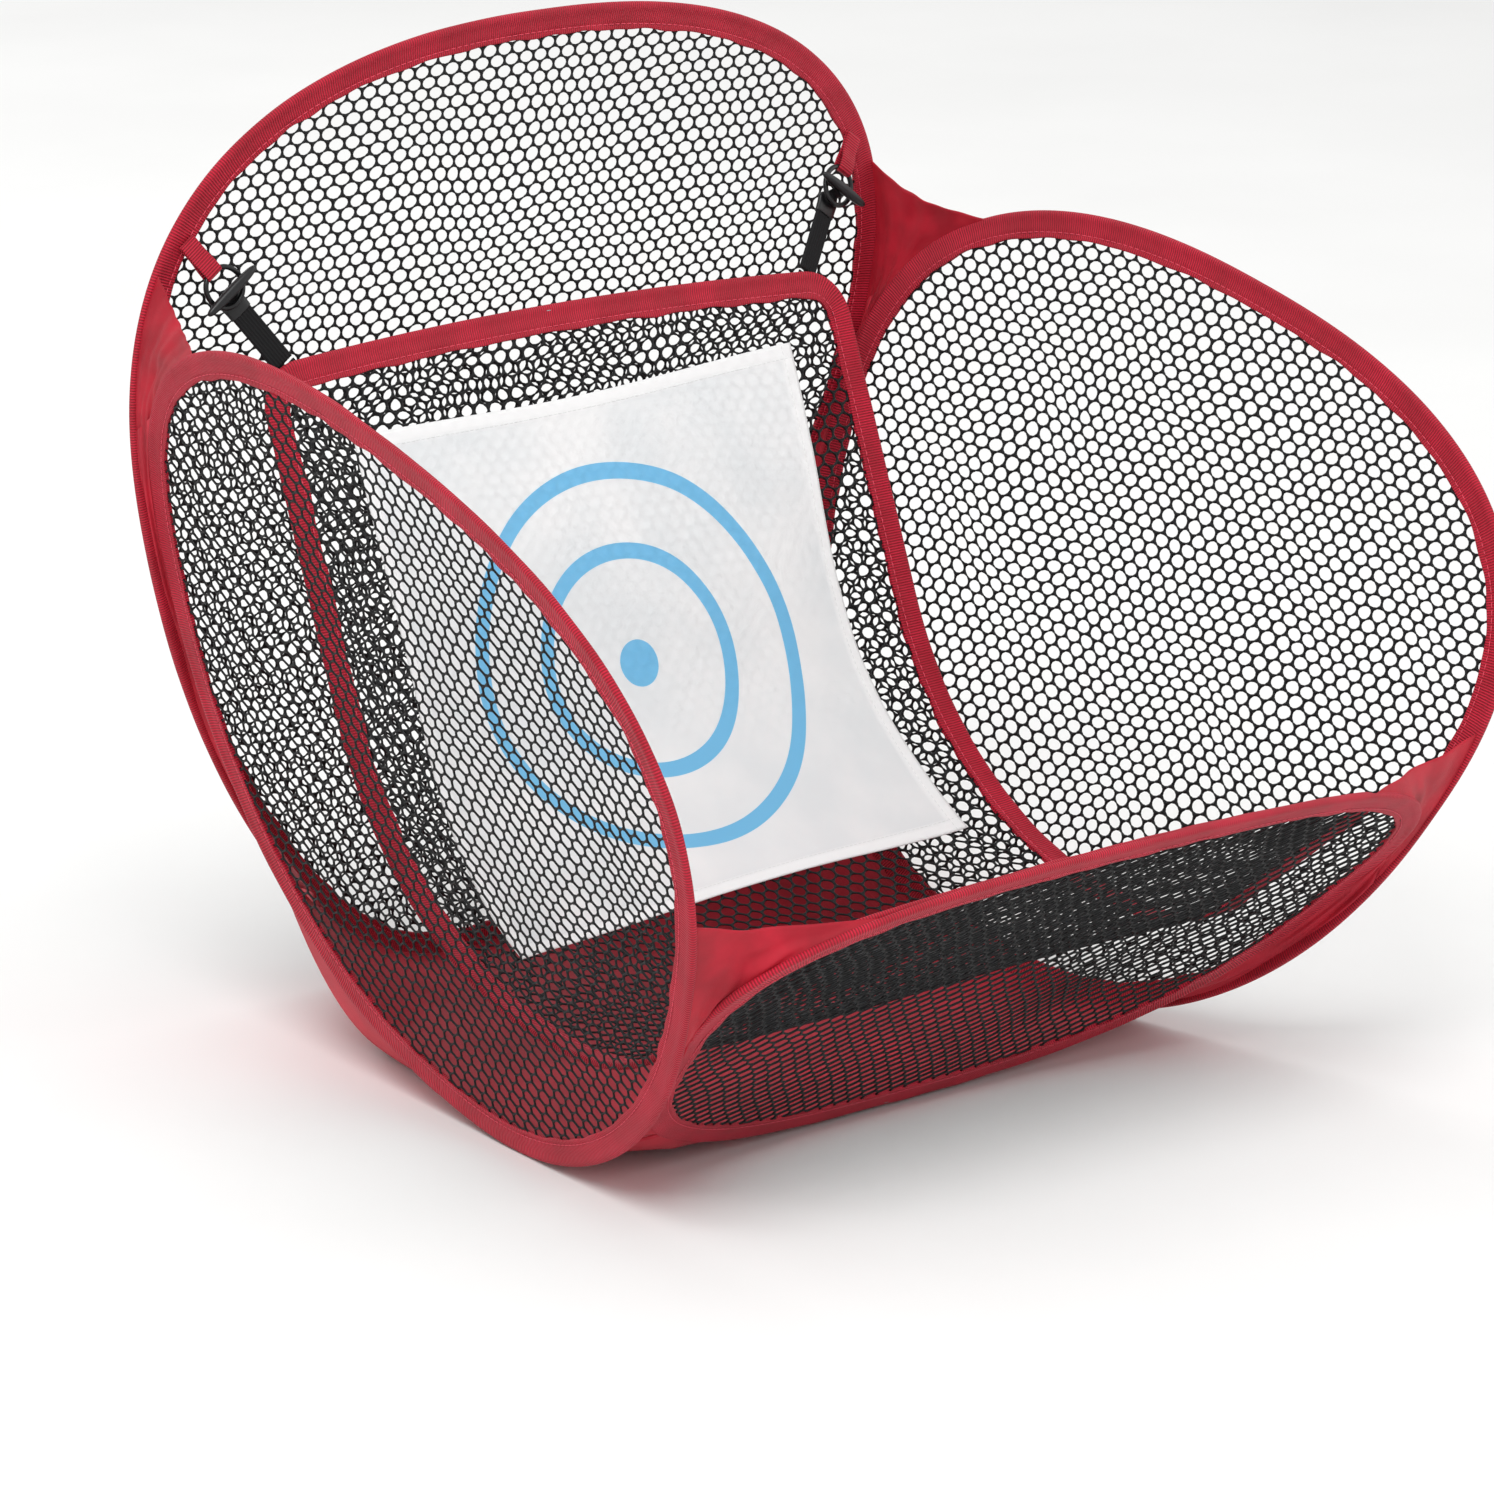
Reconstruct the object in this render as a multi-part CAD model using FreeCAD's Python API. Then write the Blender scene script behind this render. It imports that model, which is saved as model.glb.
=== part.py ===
import FreeCAD, Part
import math
import os
from dataclasses import dataclass

# Pop-up golf chipping net, in millimetres. +Z is up, +X is the golfer's right as seen from
# the front, and the golfer stands at -Y. The origin is on the floor under the middle of the
# bounding box.
#
# Four oval spring-wire hoops stand round a cloth floor like petals: a tall back one, two side
# ones that mirror each other and a low front one that leans out. Each hoop is a wire loop in
# a folded fabric binding with a net sewn across it. A fifth hoop, the target, hangs by two
# elastic straps in front of the back petal, slopes down and curls up to the front petal.

V = FreeCAD.Vector
UP = V(0, 0, 1)
RIGHT = V(1, 0, 0)

# ---- driving sizes --------------------------------------------------------------------

FLOOR_DEPTH = 277.0  # between the feet of the back and front petals

# Binding, wire and net, the same on every hoop
BAND_WIDTH = 12.0
BAND_THICK = 3.2
WIRE_D = 2.0
WIRE_FROM_FOLD = 2.4  # wire centre to the binding's outer fold
WIRE_CLEARANCE = 0.15
WIRE_END_GAP = 1.0
FERRULE_LENGTH = 11.0
FERRULE_WALL = 0.25
NET_THICK = 1.0
NET_TUCK = 4.0  # how far the net reaches into the binding
NET_CLEARANCE = 0.05

# Gaps between separate pieces
SIDE_TO_BACK_GAP = 1.2
SIDE_TO_FRONT_GAP = 2.0
FLOOR_GAP = 1.0
SEAM_GAP = 1.6  # between the target's front end and the front petal
GUSSET_GAP = 1.0

# Back petal
BACK_HALF_WIDTH = 182.0
BACK_HALF_HEIGHT = 206.5
BACK_SQUARENESS = 2.33
BACK_TAPER = 0.355
BACK_LEAN = -7.0

# Side petals
SIDE_HALF_WIDTH = FLOOR_DEPTH / 2 + 38.0
SIDE_HALF_HEIGHT = 153.5
SIDE_SQUARENESS = 2.37
SIDE_TAPER = 0.20
SIDE_LEAN = 14.2
SIDE_YAW = 7.5  # how far the pair opens towards the golfer
SIDE_ROLL = -15.7  # how far the top edge falls towards the golfer

# Front petal
FRONT_HALF_WIDTH = 179.0
FRONT_HALF_HEIGHT = 98.5
FRONT_SQUARENESS = 2.87
FRONT_TAPER = 0.135
FRONT_LEAN = 46.0
FRONT_LIFT = 1.0  # the front petal's foot stands this far off the floor

# Target panel
TARGET_HALF_WIDTH = 159.0
TARGET_TOP_HEIGHT = 298.5
TARGET_TOP_TO_BACK = 22.0
TARGET_TOP_SLOPE = 69.0
TARGET_LOW_HEIGHT = 51.0
TARGET_BACK_RADIUS = 165.0
TARGET_FRONT_RADIUS = 78.0
TARGET_FRONT_OPENING = 6.0  # angle between its front end and the front petal
TARGET_SEAM_HEIGHT = 88.0  # along the front petal, up from its middle
TARGET_OVER_SEAM = 9.0  # how far its front end runs on past the seam line
TOP_CORNER_RADIUS = 22.0
TOP_BOW_RADIUS = 2000.0
FRONT_CORNER_RADIUS = 32.0
FRONT_BOW_RADIUS = 700.0

# Target cloth
CLOTH_HALF_WIDTH = TARGET_HALF_WIDTH - 35.0
CLOTH_START = 42.0  # along the panel, from its top edge
CLOTH_END = 276.0
CLOTH_THICK = 0.6
CLOTH_GAP = 0.3

# Cloth floor and corner gussets
FLOOR_THICK = 1.2
FLOOR_CORNER_RADIUS = 30.0
GUSSET_THICK = 0.8
BACK_GUSSET_ANGLES = (31, 133, 12)  # on the back petal, the side petal, the back petal
FRONT_GUSSET_ANGLES = (7, 137, -5)  # on the side petal, the front petal, the side petal
BACK_GORE_ANGLES = (-48, 215, 5)  # on the back petal, the side petal, the back petal
FRONT_GORE_ANGLES = (-52, 212, -12)  # on the side petal, the front petal, the side petal

# Strap suspension
TAB_HOOP_ANGLE = 38.0
TAB_WIDTH = 8.0
TAB_LENGTH = 14.0
TAB_LEG_THICK = 2.0
TAB_EYE_WALL = 0.9
TAB_OVER_BAND = 2.0
TAB_TO_BAND_GAP = 0.5
RING_RADIUS = 8.4
RING_WIRE_D = 2.2
RING_CLEARANCE = 0.2
BAR_LENGTH = 30.0
BAR_D = 4.2
BAR_BELOW_RING_CENTRE = 2.0
BAR_TO_RING_GAP = 0.8
NECK_WIDTH = RING_RADIUS - 1.4
NECK_DEPTH = RING_RADIUS - 3.9
PLATE_WIDTH = 12.0
PLATE_THICK = 3.2
PLATE_LENGTH = 13.0
PLATE_TO_RING_GAP = 0.8
STRAP_WIDTH = 10.0
STRAP_THICK = 1.8
STRAP_IN_PLATE = 5.0
STRAP_END_GAP = 1.0
STRAP_FROM_SIDE = 16.5  # from the target's side edge to the strap's middle
TAIL_LENGTH = 11.0
TAIL_THICK = 1.0
TAIL_GAP = 0.15

STATIONS = 24


# ---- outlines made of straight lines and tangent arcs ----------------------------------
#
# A piece is (start, end, centre) in a flat frame, and centre is None on a straight line.
# Outlines run anticlockwise, so a piece's outer side is on the right of its travel.


def unit(vector):
    """The vector scaled to length one."""
    return vector / vector.Length


def turned(vector):
    """The vector turned a quarter clockwise, which is outwards from an outline."""
    return V(vector.y, -vector.x, 0)


def arc_centre(start, tangent, end):
    """Centre of the arc that leaves start along tangent and reaches end."""
    side = -turned(tangent)
    chord = end - start
    rise = chord.dot(side)
    if abs(rise) < 1e-5 * chord.Length:
        return None
    return start + side * (chord.dot(chord) / (2 * rise))


def biarc(start, start_tangent, end, end_tangent):
    """Two tangent arcs from start to end that keep both end directions."""
    chord = end - start
    both = start_tangent + end_tangent
    bend = 2 * (1 - start_tangent.dot(end_tangent))
    along = chord.dot(both)
    if bend < 1e-9:
        reach = chord.Length / 2
    else:
        reach = (math.sqrt(along * along + bend * chord.dot(chord)) - along) / bend
    joint = (start + end + (start_tangent - end_tangent) * reach) * 0.5
    first = (start, joint, arc_centre(start, start_tangent, joint))
    second = (joint, end, arc_centre(end, -end_tangent, joint))
    return [first, second]


def outward(point, piece):
    """Unit direction from a point of a piece to its outer side."""
    start, end, centre = piece
    if centre is None:
        return turned(unit(end - start))
    away = unit(point - centre)
    if away.dot(turned(end - start)) < 0:
        away = -away
    return away


def offset(pieces, distance):
    """The pieces moved outwards by a distance."""
    moved = []
    for piece in pieces:
        start, end, centre = piece
        new_start = start + outward(start, piece) * distance
        new_end = end + outward(end, piece) * distance
        moved.append((new_start, new_end, centre))
    return moved


def middle(piece):
    """The point half way along a piece."""
    start, end, centre = piece
    chord_middle = (start + end) * 0.5
    if centre is None:
        return chord_middle
    return centre + unit(chord_middle - centre) * (start - centre).Length


def piece_length(piece):
    """Length of a piece, along its arc."""
    start, end, centre = piece
    if centre is None:
        return (end - start).Length
    return (start - centre).Length * (start - centre).getAngle(end - centre)


def point_along(piece, distance):
    """The point a given distance along a piece."""
    start, end, centre = piece
    if centre is None:
        return start + unit(end - start) * distance
    spoke = start - centre
    turn = math.copysign(distance / spoke.Length, spoke.cross(end - centre).z)
    swung = FreeCAD.Rotation(UP, math.degrees(turn)).multVec(spoke)
    return centre + swung


def trimmed(pieces, start_distance, end_distance):
    """The stretch of an open run of pieces between two distances from its start."""
    kept = []
    travelled = 0.0
    for piece in pieces:
        length = piece_length(piece)
        low = max(start_distance - travelled, 0.0)
        high = min(end_distance - travelled, length)
        if high - low > 1e-6:
            kept.append((point_along(piece, low), point_along(piece, high), piece[2]))
        travelled += length
    return kept


def edge(piece):
    """A piece as an edge."""
    start, end, centre = piece
    if centre is None:
        return Part.LineSegment(start, end).toShape()
    return Part.Arc(start, middle(piece), end).toShape()


def face(pieces):
    """The flat face inside a closed run of pieces."""
    return Part.Face(Part.Wire([edge(piece) for piece in pieces]))


def plate(pieces, thickness):
    """The closed run's face made a plate, half its thickness on each side of its plane."""
    solid = face(pieces).extrude(V(0, 0, thickness))
    solid.translate(V(0, 0, -thickness / 2))
    return solid


def tube(edges, radius):
    """A round bar along a run of joined edges."""
    path = Part.Wire(edges)
    first = edges[0]
    start = first.valueAt(first.FirstParameter)
    direction = first.tangentAt(first.FirstParameter)
    if (path.OrderedVertexes[0].Point - start).Length > 1e-6:
        start = first.valueAt(first.LastParameter)
        direction = first.tangentAt(first.LastParameter)
    ring = Part.Wire([Part.Circle(start, direction, radius).toShape()])
    return path.makePipeShell([ring], True, False)


def flat_frame(origin, x_direction, y_direction):
    """Placement that carries the flat frame's x and y to two directions at an origin."""
    x_axis = unit(x_direction)
    z_axis = unit(x_axis.cross(y_direction))
    y_axis = z_axis.cross(x_axis)
    matrix = FreeCAD.Matrix(
        x_axis.x, y_axis.x, z_axis.x, origin.x,
        x_axis.y, y_axis.y, z_axis.y, origin.y,
        x_axis.z, y_axis.z, z_axis.z, origin.z,
        0, 0, 0, 1,
    )  # fmt: skip
    return FreeCAD.Placement(matrix)


def placed(shape, placement):
    """A copy of a shape carried by a placement."""
    copy = shape.copy()
    copy.Placement = placement.multiply(copy.Placement)
    return copy


def mirrored(shape):
    """The left-hand twin of a right-hand shape."""
    return shape.mirror(V(0, 0, 0), RIGHT)


# ---- hoops -------------------------------------------------------------------------------


@dataclass
class Hoop:
    """An oval hoop: its outline is the middle line of its binding.

    The outline is a superellipse whose width grows upwards by the taper. lean tips the top
    outwards, yaw turns the hoop about the vertical, and roll turns it in its own plane.
    """

    half_width: float
    half_height: float
    squareness: float
    taper: float
    lean: float
    yaw: float
    roll: float
    x: float = 0.0
    y: float = 0.0
    lift: float = 0.0

    def __post_init__(self):
        """Finds the height that stands the binding on the floor."""
        rotation = self.rotation()
        lowest = 0.0
        for angle in range(0, 360):
            rim = self.point(angle) + self.normal(angle) * (BAND_WIDTH / 2)
            for side in (-BAND_THICK / 2, BAND_THICK / 2):
                lowest = min(lowest, rotation.multVec(rim + UP * side).z)
        self.height = self.lift - lowest

    def point(self, angle):
        """Point of the outline at an angle in degrees, 0 at its right and 90 at its top."""
        cosine = math.cos(math.radians(angle))
        sine = math.sin(math.radians(angle))
        power = 2 / self.squareness
        across = math.copysign(abs(cosine) ** power, cosine)
        height = math.copysign(abs(sine) ** power, sine)
        width = self.half_width * (1 + self.taper * height)
        return V(width * across, self.half_height * height, 0)

    def normal(self, angle):
        """Outward direction of the outline, the gradient of its superellipse equation."""
        point = self.point(angle)
        power = self.squareness
        height = point.y / self.half_height
        width = self.half_width * (1 + self.taper * height)
        across = abs(point.x) / width
        growth = self.half_width * self.taper / self.half_height
        x_slope = math.copysign(across ** (power - 1), point.x) / width
        y_slope = math.copysign(abs(height) ** (power - 1), height) / self.half_height
        y_slope -= across**power * growth / width
        return unit(V(x_slope, y_slope, 0))

    def at(self, angle, outwards=0.0, inside=0.0):
        """A placed point: off the outline by outwards, and off its plane by inside."""
        flat = self.point(angle) + self.normal(angle) * outwards + UP * inside
        return self.placement().multVec(flat)

    def outline(self):
        """The closed run of arcs, starting and ending at the bottom."""
        pieces = []
        step = 360.0 / STATIONS
        for index in range(STATIONS):
            low = index * step - 90
            high = low + step
            start_tangent = -turned(self.normal(low))
            end_tangent = -turned(self.normal(high))
            pieces += biarc(self.point(low), start_tangent, self.point(high), end_tangent)
        return pieces

    def rotation(self):
        """Turns the flat frame upright, with its z towards the inside of the basket."""
        turn = FreeCAD.Rotation(UP, self.yaw)
        tip = FreeCAD.Rotation(RIGHT, 90 - self.lean)
        spin = FreeCAD.Rotation(UP, self.roll)
        return turn.multiply(tip).multiply(spin)

    def inward(self):
        """Direction of the hoop's face that looks into the basket."""
        return self.rotation().multVec(UP)

    def placement(self):
        """Placement that stands the hoop in its place."""
        return FreeCAD.Placement(V(self.x, self.y, self.height), self.rotation())

    def rim(self):
        """Placed points all round the binding's outer fold, on both of its faces."""
        points = []
        for angle in range(0, 360):
            for side in (-BAND_THICK / 2, BAND_THICK / 2):
                points.append(self.at(angle, BAND_WIDTH / 2, side))
        return points


def back_hoop():
    """The tall petal behind the target."""
    hoop = Hoop(BACK_HALF_WIDTH, BACK_HALF_HEIGHT, BACK_SQUARENESS, BACK_TAPER, BACK_LEAN, 0, 0)
    hoop.y = FLOOR_DEPTH / 2 + BACK_HALF_HEIGHT * math.sin(math.radians(BACK_LEAN))
    return hoop


def front_hoop():
    """The low petal towards the golfer."""
    hoop = Hoop(
        FRONT_HALF_WIDTH,
        FRONT_HALF_HEIGHT,
        FRONT_SQUARENESS,
        FRONT_TAPER,
        FRONT_LEAN,
        180,
        0,
        lift=FRONT_LIFT,
    )
    hoop.y = -FLOOR_DEPTH / 2 - FRONT_HALF_HEIGHT * math.sin(math.radians(FRONT_LEAN))
    return hoop


def right_hoop(back, front):
    """The right side petal, its rear edge at the back petal and the front petal inside it."""
    hoop = Hoop(
        SIDE_HALF_WIDTH,
        SIDE_HALF_HEIGHT,
        SIDE_SQUARENESS,
        SIDE_TAPER,
        SIDE_LEAN,
        SIDE_YAW - 90,
        SIDE_ROLL,
        x=FRONT_HALF_WIDTH,
    )
    back_face = back.placement().Base + back.inward() * (BAND_THICK / 2)
    room = min((point - back_face).dot(back.inward()) for point in hoop.rim())
    hoop.y += (SIDE_TO_BACK_GAP - room) / back.inward().y
    side_face = hoop.placement().Base + hoop.inward() * (BAND_THICK / 2)
    room = min((point - side_face).dot(hoop.inward()) for point in front.rim() if point.x > 0)
    hoop.x += (room - SIDE_TO_FRONT_GAP) / hoop.inward().x
    return hoop


def wire_arcs(hoop):
    """The wire's run round the hoop, open by the gap between its ends at the bottom."""
    run = offset(hoop.outline(), BAND_WIDTH / 2 - WIRE_FROM_FOLD)
    total = sum(piece_length(piece) for piece in run)
    return trimmed(run, WIRE_END_GAP / 2, total - WIRE_END_GAP / 2)


def ferrule_blank(centre, direction, clearance=0.0):
    """The ferrule's outer cylinder, centred on the gap in the wire."""
    radius = WIRE_D / 2 + WIRE_CLEARANCE + FERRULE_WALL + clearance
    length = FERRULE_LENGTH + 2 * clearance
    return Part.makeCylinder(radius, length, centre - direction * (length / 2), direction)


def ferrule(centre, direction):
    """The crimped tube that joins the two ends of a wire."""
    bore_radius = WIRE_D / 2 + WIRE_CLEARANCE
    start = centre - direction * FERRULE_LENGTH
    bore = Part.makeCylinder(bore_radius, 2 * FERRULE_LENGTH, start, direction)
    return ferrule_blank(centre, direction).cut(bore)


def hoop_pieces(hoop):
    """The wire, ferrule, binding and net of one petal, in the petal's flat frame."""
    outline = hoop.outline()
    wire_edges = [edge(piece) for piece in wire_arcs(hoop)]
    wire = tube(wire_edges, WIRE_D / 2)
    joint = hoop.point(-90) + V(0, WIRE_FROM_FOLD - BAND_WIDTH / 2, 0)
    channel = tube(wire_edges, WIRE_D / 2 + WIRE_CLEARANCE)
    fold = BAND_WIDTH / 2
    net_edge = NET_TUCK - fold
    binding = plate(offset(outline, fold), BAND_THICK).cut(
        plate(offset(outline, -fold), 2 * BAND_THICK)
    )
    slot = plate(offset(outline, net_edge + NET_CLEARANCE), NET_THICK + 2 * NET_CLEARANCE)
    binding = binding.cut(slot)
    binding = binding.cut(channel)
    binding = binding.cut(ferrule_blank(joint, RIGHT, NET_CLEARANCE))
    return {
        "wire": wire,
        "wire_ferrule": ferrule(joint, RIGHT),
        "binding": binding,
        "net": plate(offset(outline, net_edge), NET_THICK),
    }


# ---- target panel ------------------------------------------------------------------------


def rounded_run(points, radii):
    """Straight lines through the points, with an arc of each radius at the inner points."""
    pieces = []
    start = points[0]
    for index, radius in enumerate(radii):
        corner = points[index + 1]
        arriving = unit(corner - points[index])
        leaving = unit(points[index + 2] - corner)
        reach = radius * math.tan(arriving.getAngle(leaving) / 2)
        arc_start = corner - arriving * reach
        arc_end = corner + leaving * reach
        side = math.copysign(radius, arriving.cross(leaving).z)
        pieces.append((start, arc_start, None))
        pieces.append((arc_start, arc_end, arc_start - turned(arriving) * side))
        start = arc_end
    pieces.append((start, points[-1], None))
    return pieces


def target_profile(back, front):
    """The target's side view from its top edge to its front end, x forwards and y up."""
    slope = math.radians(TARGET_TOP_SLOPE)
    back_y = back.y + (TARGET_TOP_HEIGHT - back.height) * math.tan(math.radians(BACK_LEAN))
    top = V(TARGET_TOP_TO_BACK - back_y, TARGET_TOP_HEIGHT, 0)
    drop = TARGET_TOP_HEIGHT - TARGET_LOW_HEIGHT
    low_back = V(top.x + drop / math.tan(slope), TARGET_LOW_HEIGHT, 0)
    seam = front.placement().multVec(V(0, TARGET_SEAM_HEIGHT, BAND_THICK + SEAM_GAP))
    rise = math.radians(90 - FRONT_LEAN - TARGET_FRONT_OPENING)
    climb = V(math.cos(rise), math.sin(rise), 0)
    seam = V(-seam.y, seam.z, 0)
    low_front = seam - climb * ((seam.y - TARGET_LOW_HEIGHT) / climb.y)
    end = seam + climb * TARGET_OVER_SEAM
    radii = [TARGET_BACK_RADIUS, TARGET_FRONT_RADIUS]
    return rounded_run([top, low_back, low_front, end], radii)


PROFILE_FRAME = flat_frame(V(0, 0, 0), V(0, -1, 0), UP)


def run_length(pieces):
    """Length of a run of pieces."""
    return sum(piece_length(piece) for piece in pieces)


def end_frame(profile, at_front):
    """Flat frame at the middle of one end of the panel: x to the right, y off its end."""
    if at_front:
        start, end, _ = profile[-1]
        tip = end
    else:
        end, start, _ = profile[0]
        tip = end
    origin = PROFILE_FRAME.multVec(tip)
    direction = PROFILE_FRAME.Rotation.multVec(end - start)
    return flat_frame(origin, RIGHT, direction)


def end_run(at_front, inset):
    """The panel's bowed end with its two round corners, from its right side to its left."""
    corner = (FRONT_CORNER_RADIUS if at_front else TOP_CORNER_RADIUS) - inset
    bow = (FRONT_BOW_RADIUS if at_front else TOP_BOW_RADIUS) - inset
    half_width = TARGET_HALF_WIDTH - inset
    bow_centre = V(0, -bow - inset, 0)
    across = half_width - corner
    height = bow_centre.y + math.sqrt((bow - corner) ** 2 - across**2)
    right_centre = V(across, height, 0)
    left_centre = V(-across, height, 0)
    right_join = bow_centre + unit(right_centre - bow_centre) * bow
    left_join = bow_centre + unit(left_centre - bow_centre) * bow
    return [
        (V(half_width, height, 0), right_join, right_centre),
        (right_join, left_join, bow_centre),
        (left_join, V(-half_width, height, 0), left_centre),
    ]


def sheet(profile, start, end, half_width, thickness, outwards=0.0):
    """A stretch of the panel's curved sheet, of one width and thickness."""
    run = offset(trimmed(profile, start, end), outwards)
    outer = offset(run, thickness / 2)
    inner = offset(run, -thickness / 2)
    edges = [edge(piece) for piece in outer]
    edges.append(Part.LineSegment(outer[-1][1], inner[-1][1]).toShape())
    edges += [edge(piece) for piece in reversed(inner)]
    edges.append(Part.LineSegment(inner[0][0], outer[0][0]).toShape())
    solid = Part.Face(Part.Wire(edges)).extrude(UP * (2 * half_width))
    solid.translate(UP * -half_width)
    return placed(solid, PROFILE_FRAME)


def target_slab(profile, inset, thickness):
    """The panel's whole sheet with bowed ends and round corners, its edge moved in by inset."""
    length = run_length(profile)
    slab = sheet(profile, inset, length - inset, TARGET_HALF_WIDTH - inset, thickness)
    for at_front in (False, True):
        end = end_run(at_front, inset)
        reach = 2 * TARGET_HALF_WIDTH
        right_foot = end[0][0]
        left_foot = end[-1][1]
        right_far = V(reach, right_foot.y, 0)
        left_far = V(-reach, left_foot.y, 0)
        over = V(0, reach, 0)
        outside = [
            (left_foot, left_far, None),
            (left_far, left_far + over, None),
            (left_far + over, right_far + over, None),
            (right_far + over, right_far, None),
            (right_far, right_foot, None),
        ]
        trimmer = plate(end + outside, 3 * BAND_THICK)
        slab = slab.cut(placed(trimmer, end_frame(profile, at_front)))
    return slab


def target_wire_edges(profile):
    """The target wire's closed run, open by the gap between its ends at the top."""
    inset = WIRE_FROM_FOLD
    top = end_run(False, inset)
    front = end_run(True, inset)
    half = run_length(top) / 2
    side_start = -top[0][0].y
    side_end = run_length(profile) + front[0][0].y
    side = trimmed(profile, side_start, side_end)
    across = V(TARGET_HALF_WIDTH - inset, 0, 0)
    top_frame = end_frame(profile, False)
    front_frame = end_frame(profile, True)
    side_edges = [placed(edge(piece), PROFILE_FRAME) for piece in side]
    edges = []
    for piece in trimmed(top, half + WIRE_END_GAP / 2, 2 * half):
        edges.append(placed(edge(piece), top_frame))
    for side_edge in side_edges:
        edges.append(side_edge.translated(-across))
    for piece in reversed(front):
        edges.append(placed(edge(piece), front_frame))
    for side_edge in reversed(side_edges):
        edges.append(side_edge.translated(across))
    for piece in trimmed(top, 0, half - WIRE_END_GAP / 2):
        edges.append(placed(edge(piece), top_frame))
    return edges


def target_pieces(profile):
    """The target panel's wire, ferrule, binding, net and cloth."""
    edges = target_wire_edges(profile)
    wire = tube(edges, WIRE_D / 2)
    channel = tube(edges, WIRE_D / 2 + WIRE_CLEARANCE)
    joint = end_frame(profile, False).multVec(V(0, -WIRE_FROM_FOLD, 0))
    net_inset = BAND_WIDTH - NET_TUCK
    binding = target_slab(profile, 0, BAND_THICK)
    binding = binding.cut(target_slab(profile, BAND_WIDTH, 2 * BAND_THICK))
    slot_thick = NET_THICK + 2 * NET_CLEARANCE
    binding = binding.cut(target_slab(profile, net_inset - NET_CLEARANCE, slot_thick))
    binding = binding.cut(channel)
    binding = binding.cut(ferrule_blank(joint, RIGHT, NET_CLEARANCE))
    cloth_depth = (NET_THICK + CLOTH_THICK) / 2 + CLOTH_GAP
    cloth = sheet(profile, CLOTH_START, CLOTH_END, CLOTH_HALF_WIDTH, CLOTH_THICK, -cloth_depth)
    return {
        "target_wire": wire,
        "target_wire_ferrule": ferrule(joint, RIGHT),
        "target_binding": binding,
        "target_net": target_slab(profile, net_inset, NET_THICK),
        "target_cloth": cloth,
    }


# ---- strap suspension --------------------------------------------------------------------


def box(x_range, y_range, z_range):
    """A block between three pairs of limits."""
    corner = V(x_range[0], y_range[0], z_range[0])
    sizes = [high - low for low, high in (x_range, y_range, z_range)]
    return Part.makeBox(*sizes, corner)


def strap_foot(profile):
    """Where the right strap meets the panel's top edge, in the top end's flat frame."""
    across = TARGET_HALF_WIDTH - STRAP_FROM_SIDE
    corner = end_run(False, 0)[0]
    centre = corner[2]
    if across > centre.x:
        rim = centre.y + math.sqrt(TOP_CORNER_RADIUS**2 - (across - centre.x) ** 2)
    else:
        rim = math.sqrt(TOP_BOW_RADIUS**2 - across**2) - TOP_BOW_RADIUS
    depth = (BAND_THICK + TAIL_THICK) / 2 + TAIL_GAP
    return V(across, rim, -depth)


PLATE_DEPTH = RING_WIRE_D / 2 + PLATE_TO_RING_GAP + PLATE_THICK / 2


def chain_frame(back, profile):
    """Flat frame of the right suspension: x down the strap, z to the front, and its length."""
    inside = (BAND_THICK + TAB_LEG_THICK) / 2 + TAB_TO_BAND_GAP
    root = back.at(TAB_HOOP_ANGLE, TAB_OVER_BAND - BAND_WIDTH / 2, inside)
    foot = end_frame(profile, False).multVec(strap_foot(profile))
    along = unit(foot - root)
    front = V(0, -1, 0)
    front = unit(front - along * front.dot(along))
    foot += front * PLATE_DEPTH
    along = unit(foot - root)
    front = unit(front - along * front.dot(along))
    return flat_frame(root, along, front.cross(along)), (foot - root).Length


def tab():
    """Webbing tab folded round the ring, in the suspension's frame."""
    ring_centre = V(TAB_LENGTH + RING_RADIUS, 0, 0)
    half_width = TAB_WIDTH / 2
    half_leg = TAB_LEG_THICK / 2
    channel_radius = RING_WIRE_D / 2 + RING_CLEARANCE
    leg = box((0, TAB_LENGTH), (-half_width, half_width), (-half_leg, half_leg))
    eye = Part.makeTorus(RING_RADIUS, channel_radius + TAB_EYE_WALL, ring_centre)
    reach = TAB_LENGTH + RING_RADIUS
    eye = eye.common(box((0, reach), (-half_width, half_width), (-reach, reach)))
    return leg.fuse(eye).cut(Part.makeTorus(RING_RADIUS, channel_radius, ring_centre))


def o_ring():
    """Plain round ring, in the suspension's frame."""
    return Part.makeTorus(RING_RADIUS, RING_WIRE_D / 2, V(TAB_LENGTH + RING_RADIUS, 0, 0))


BAR_X = TAB_LENGTH + RING_RADIUS + BAR_BELOW_RING_CENTRE
BAR_Z = RING_WIRE_D / 2 + BAR_TO_RING_GAP + BAR_D / 2
PLATE_START = BAR_X - 1.0
PLATE_END = PLATE_START + PLATE_LENGTH


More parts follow.
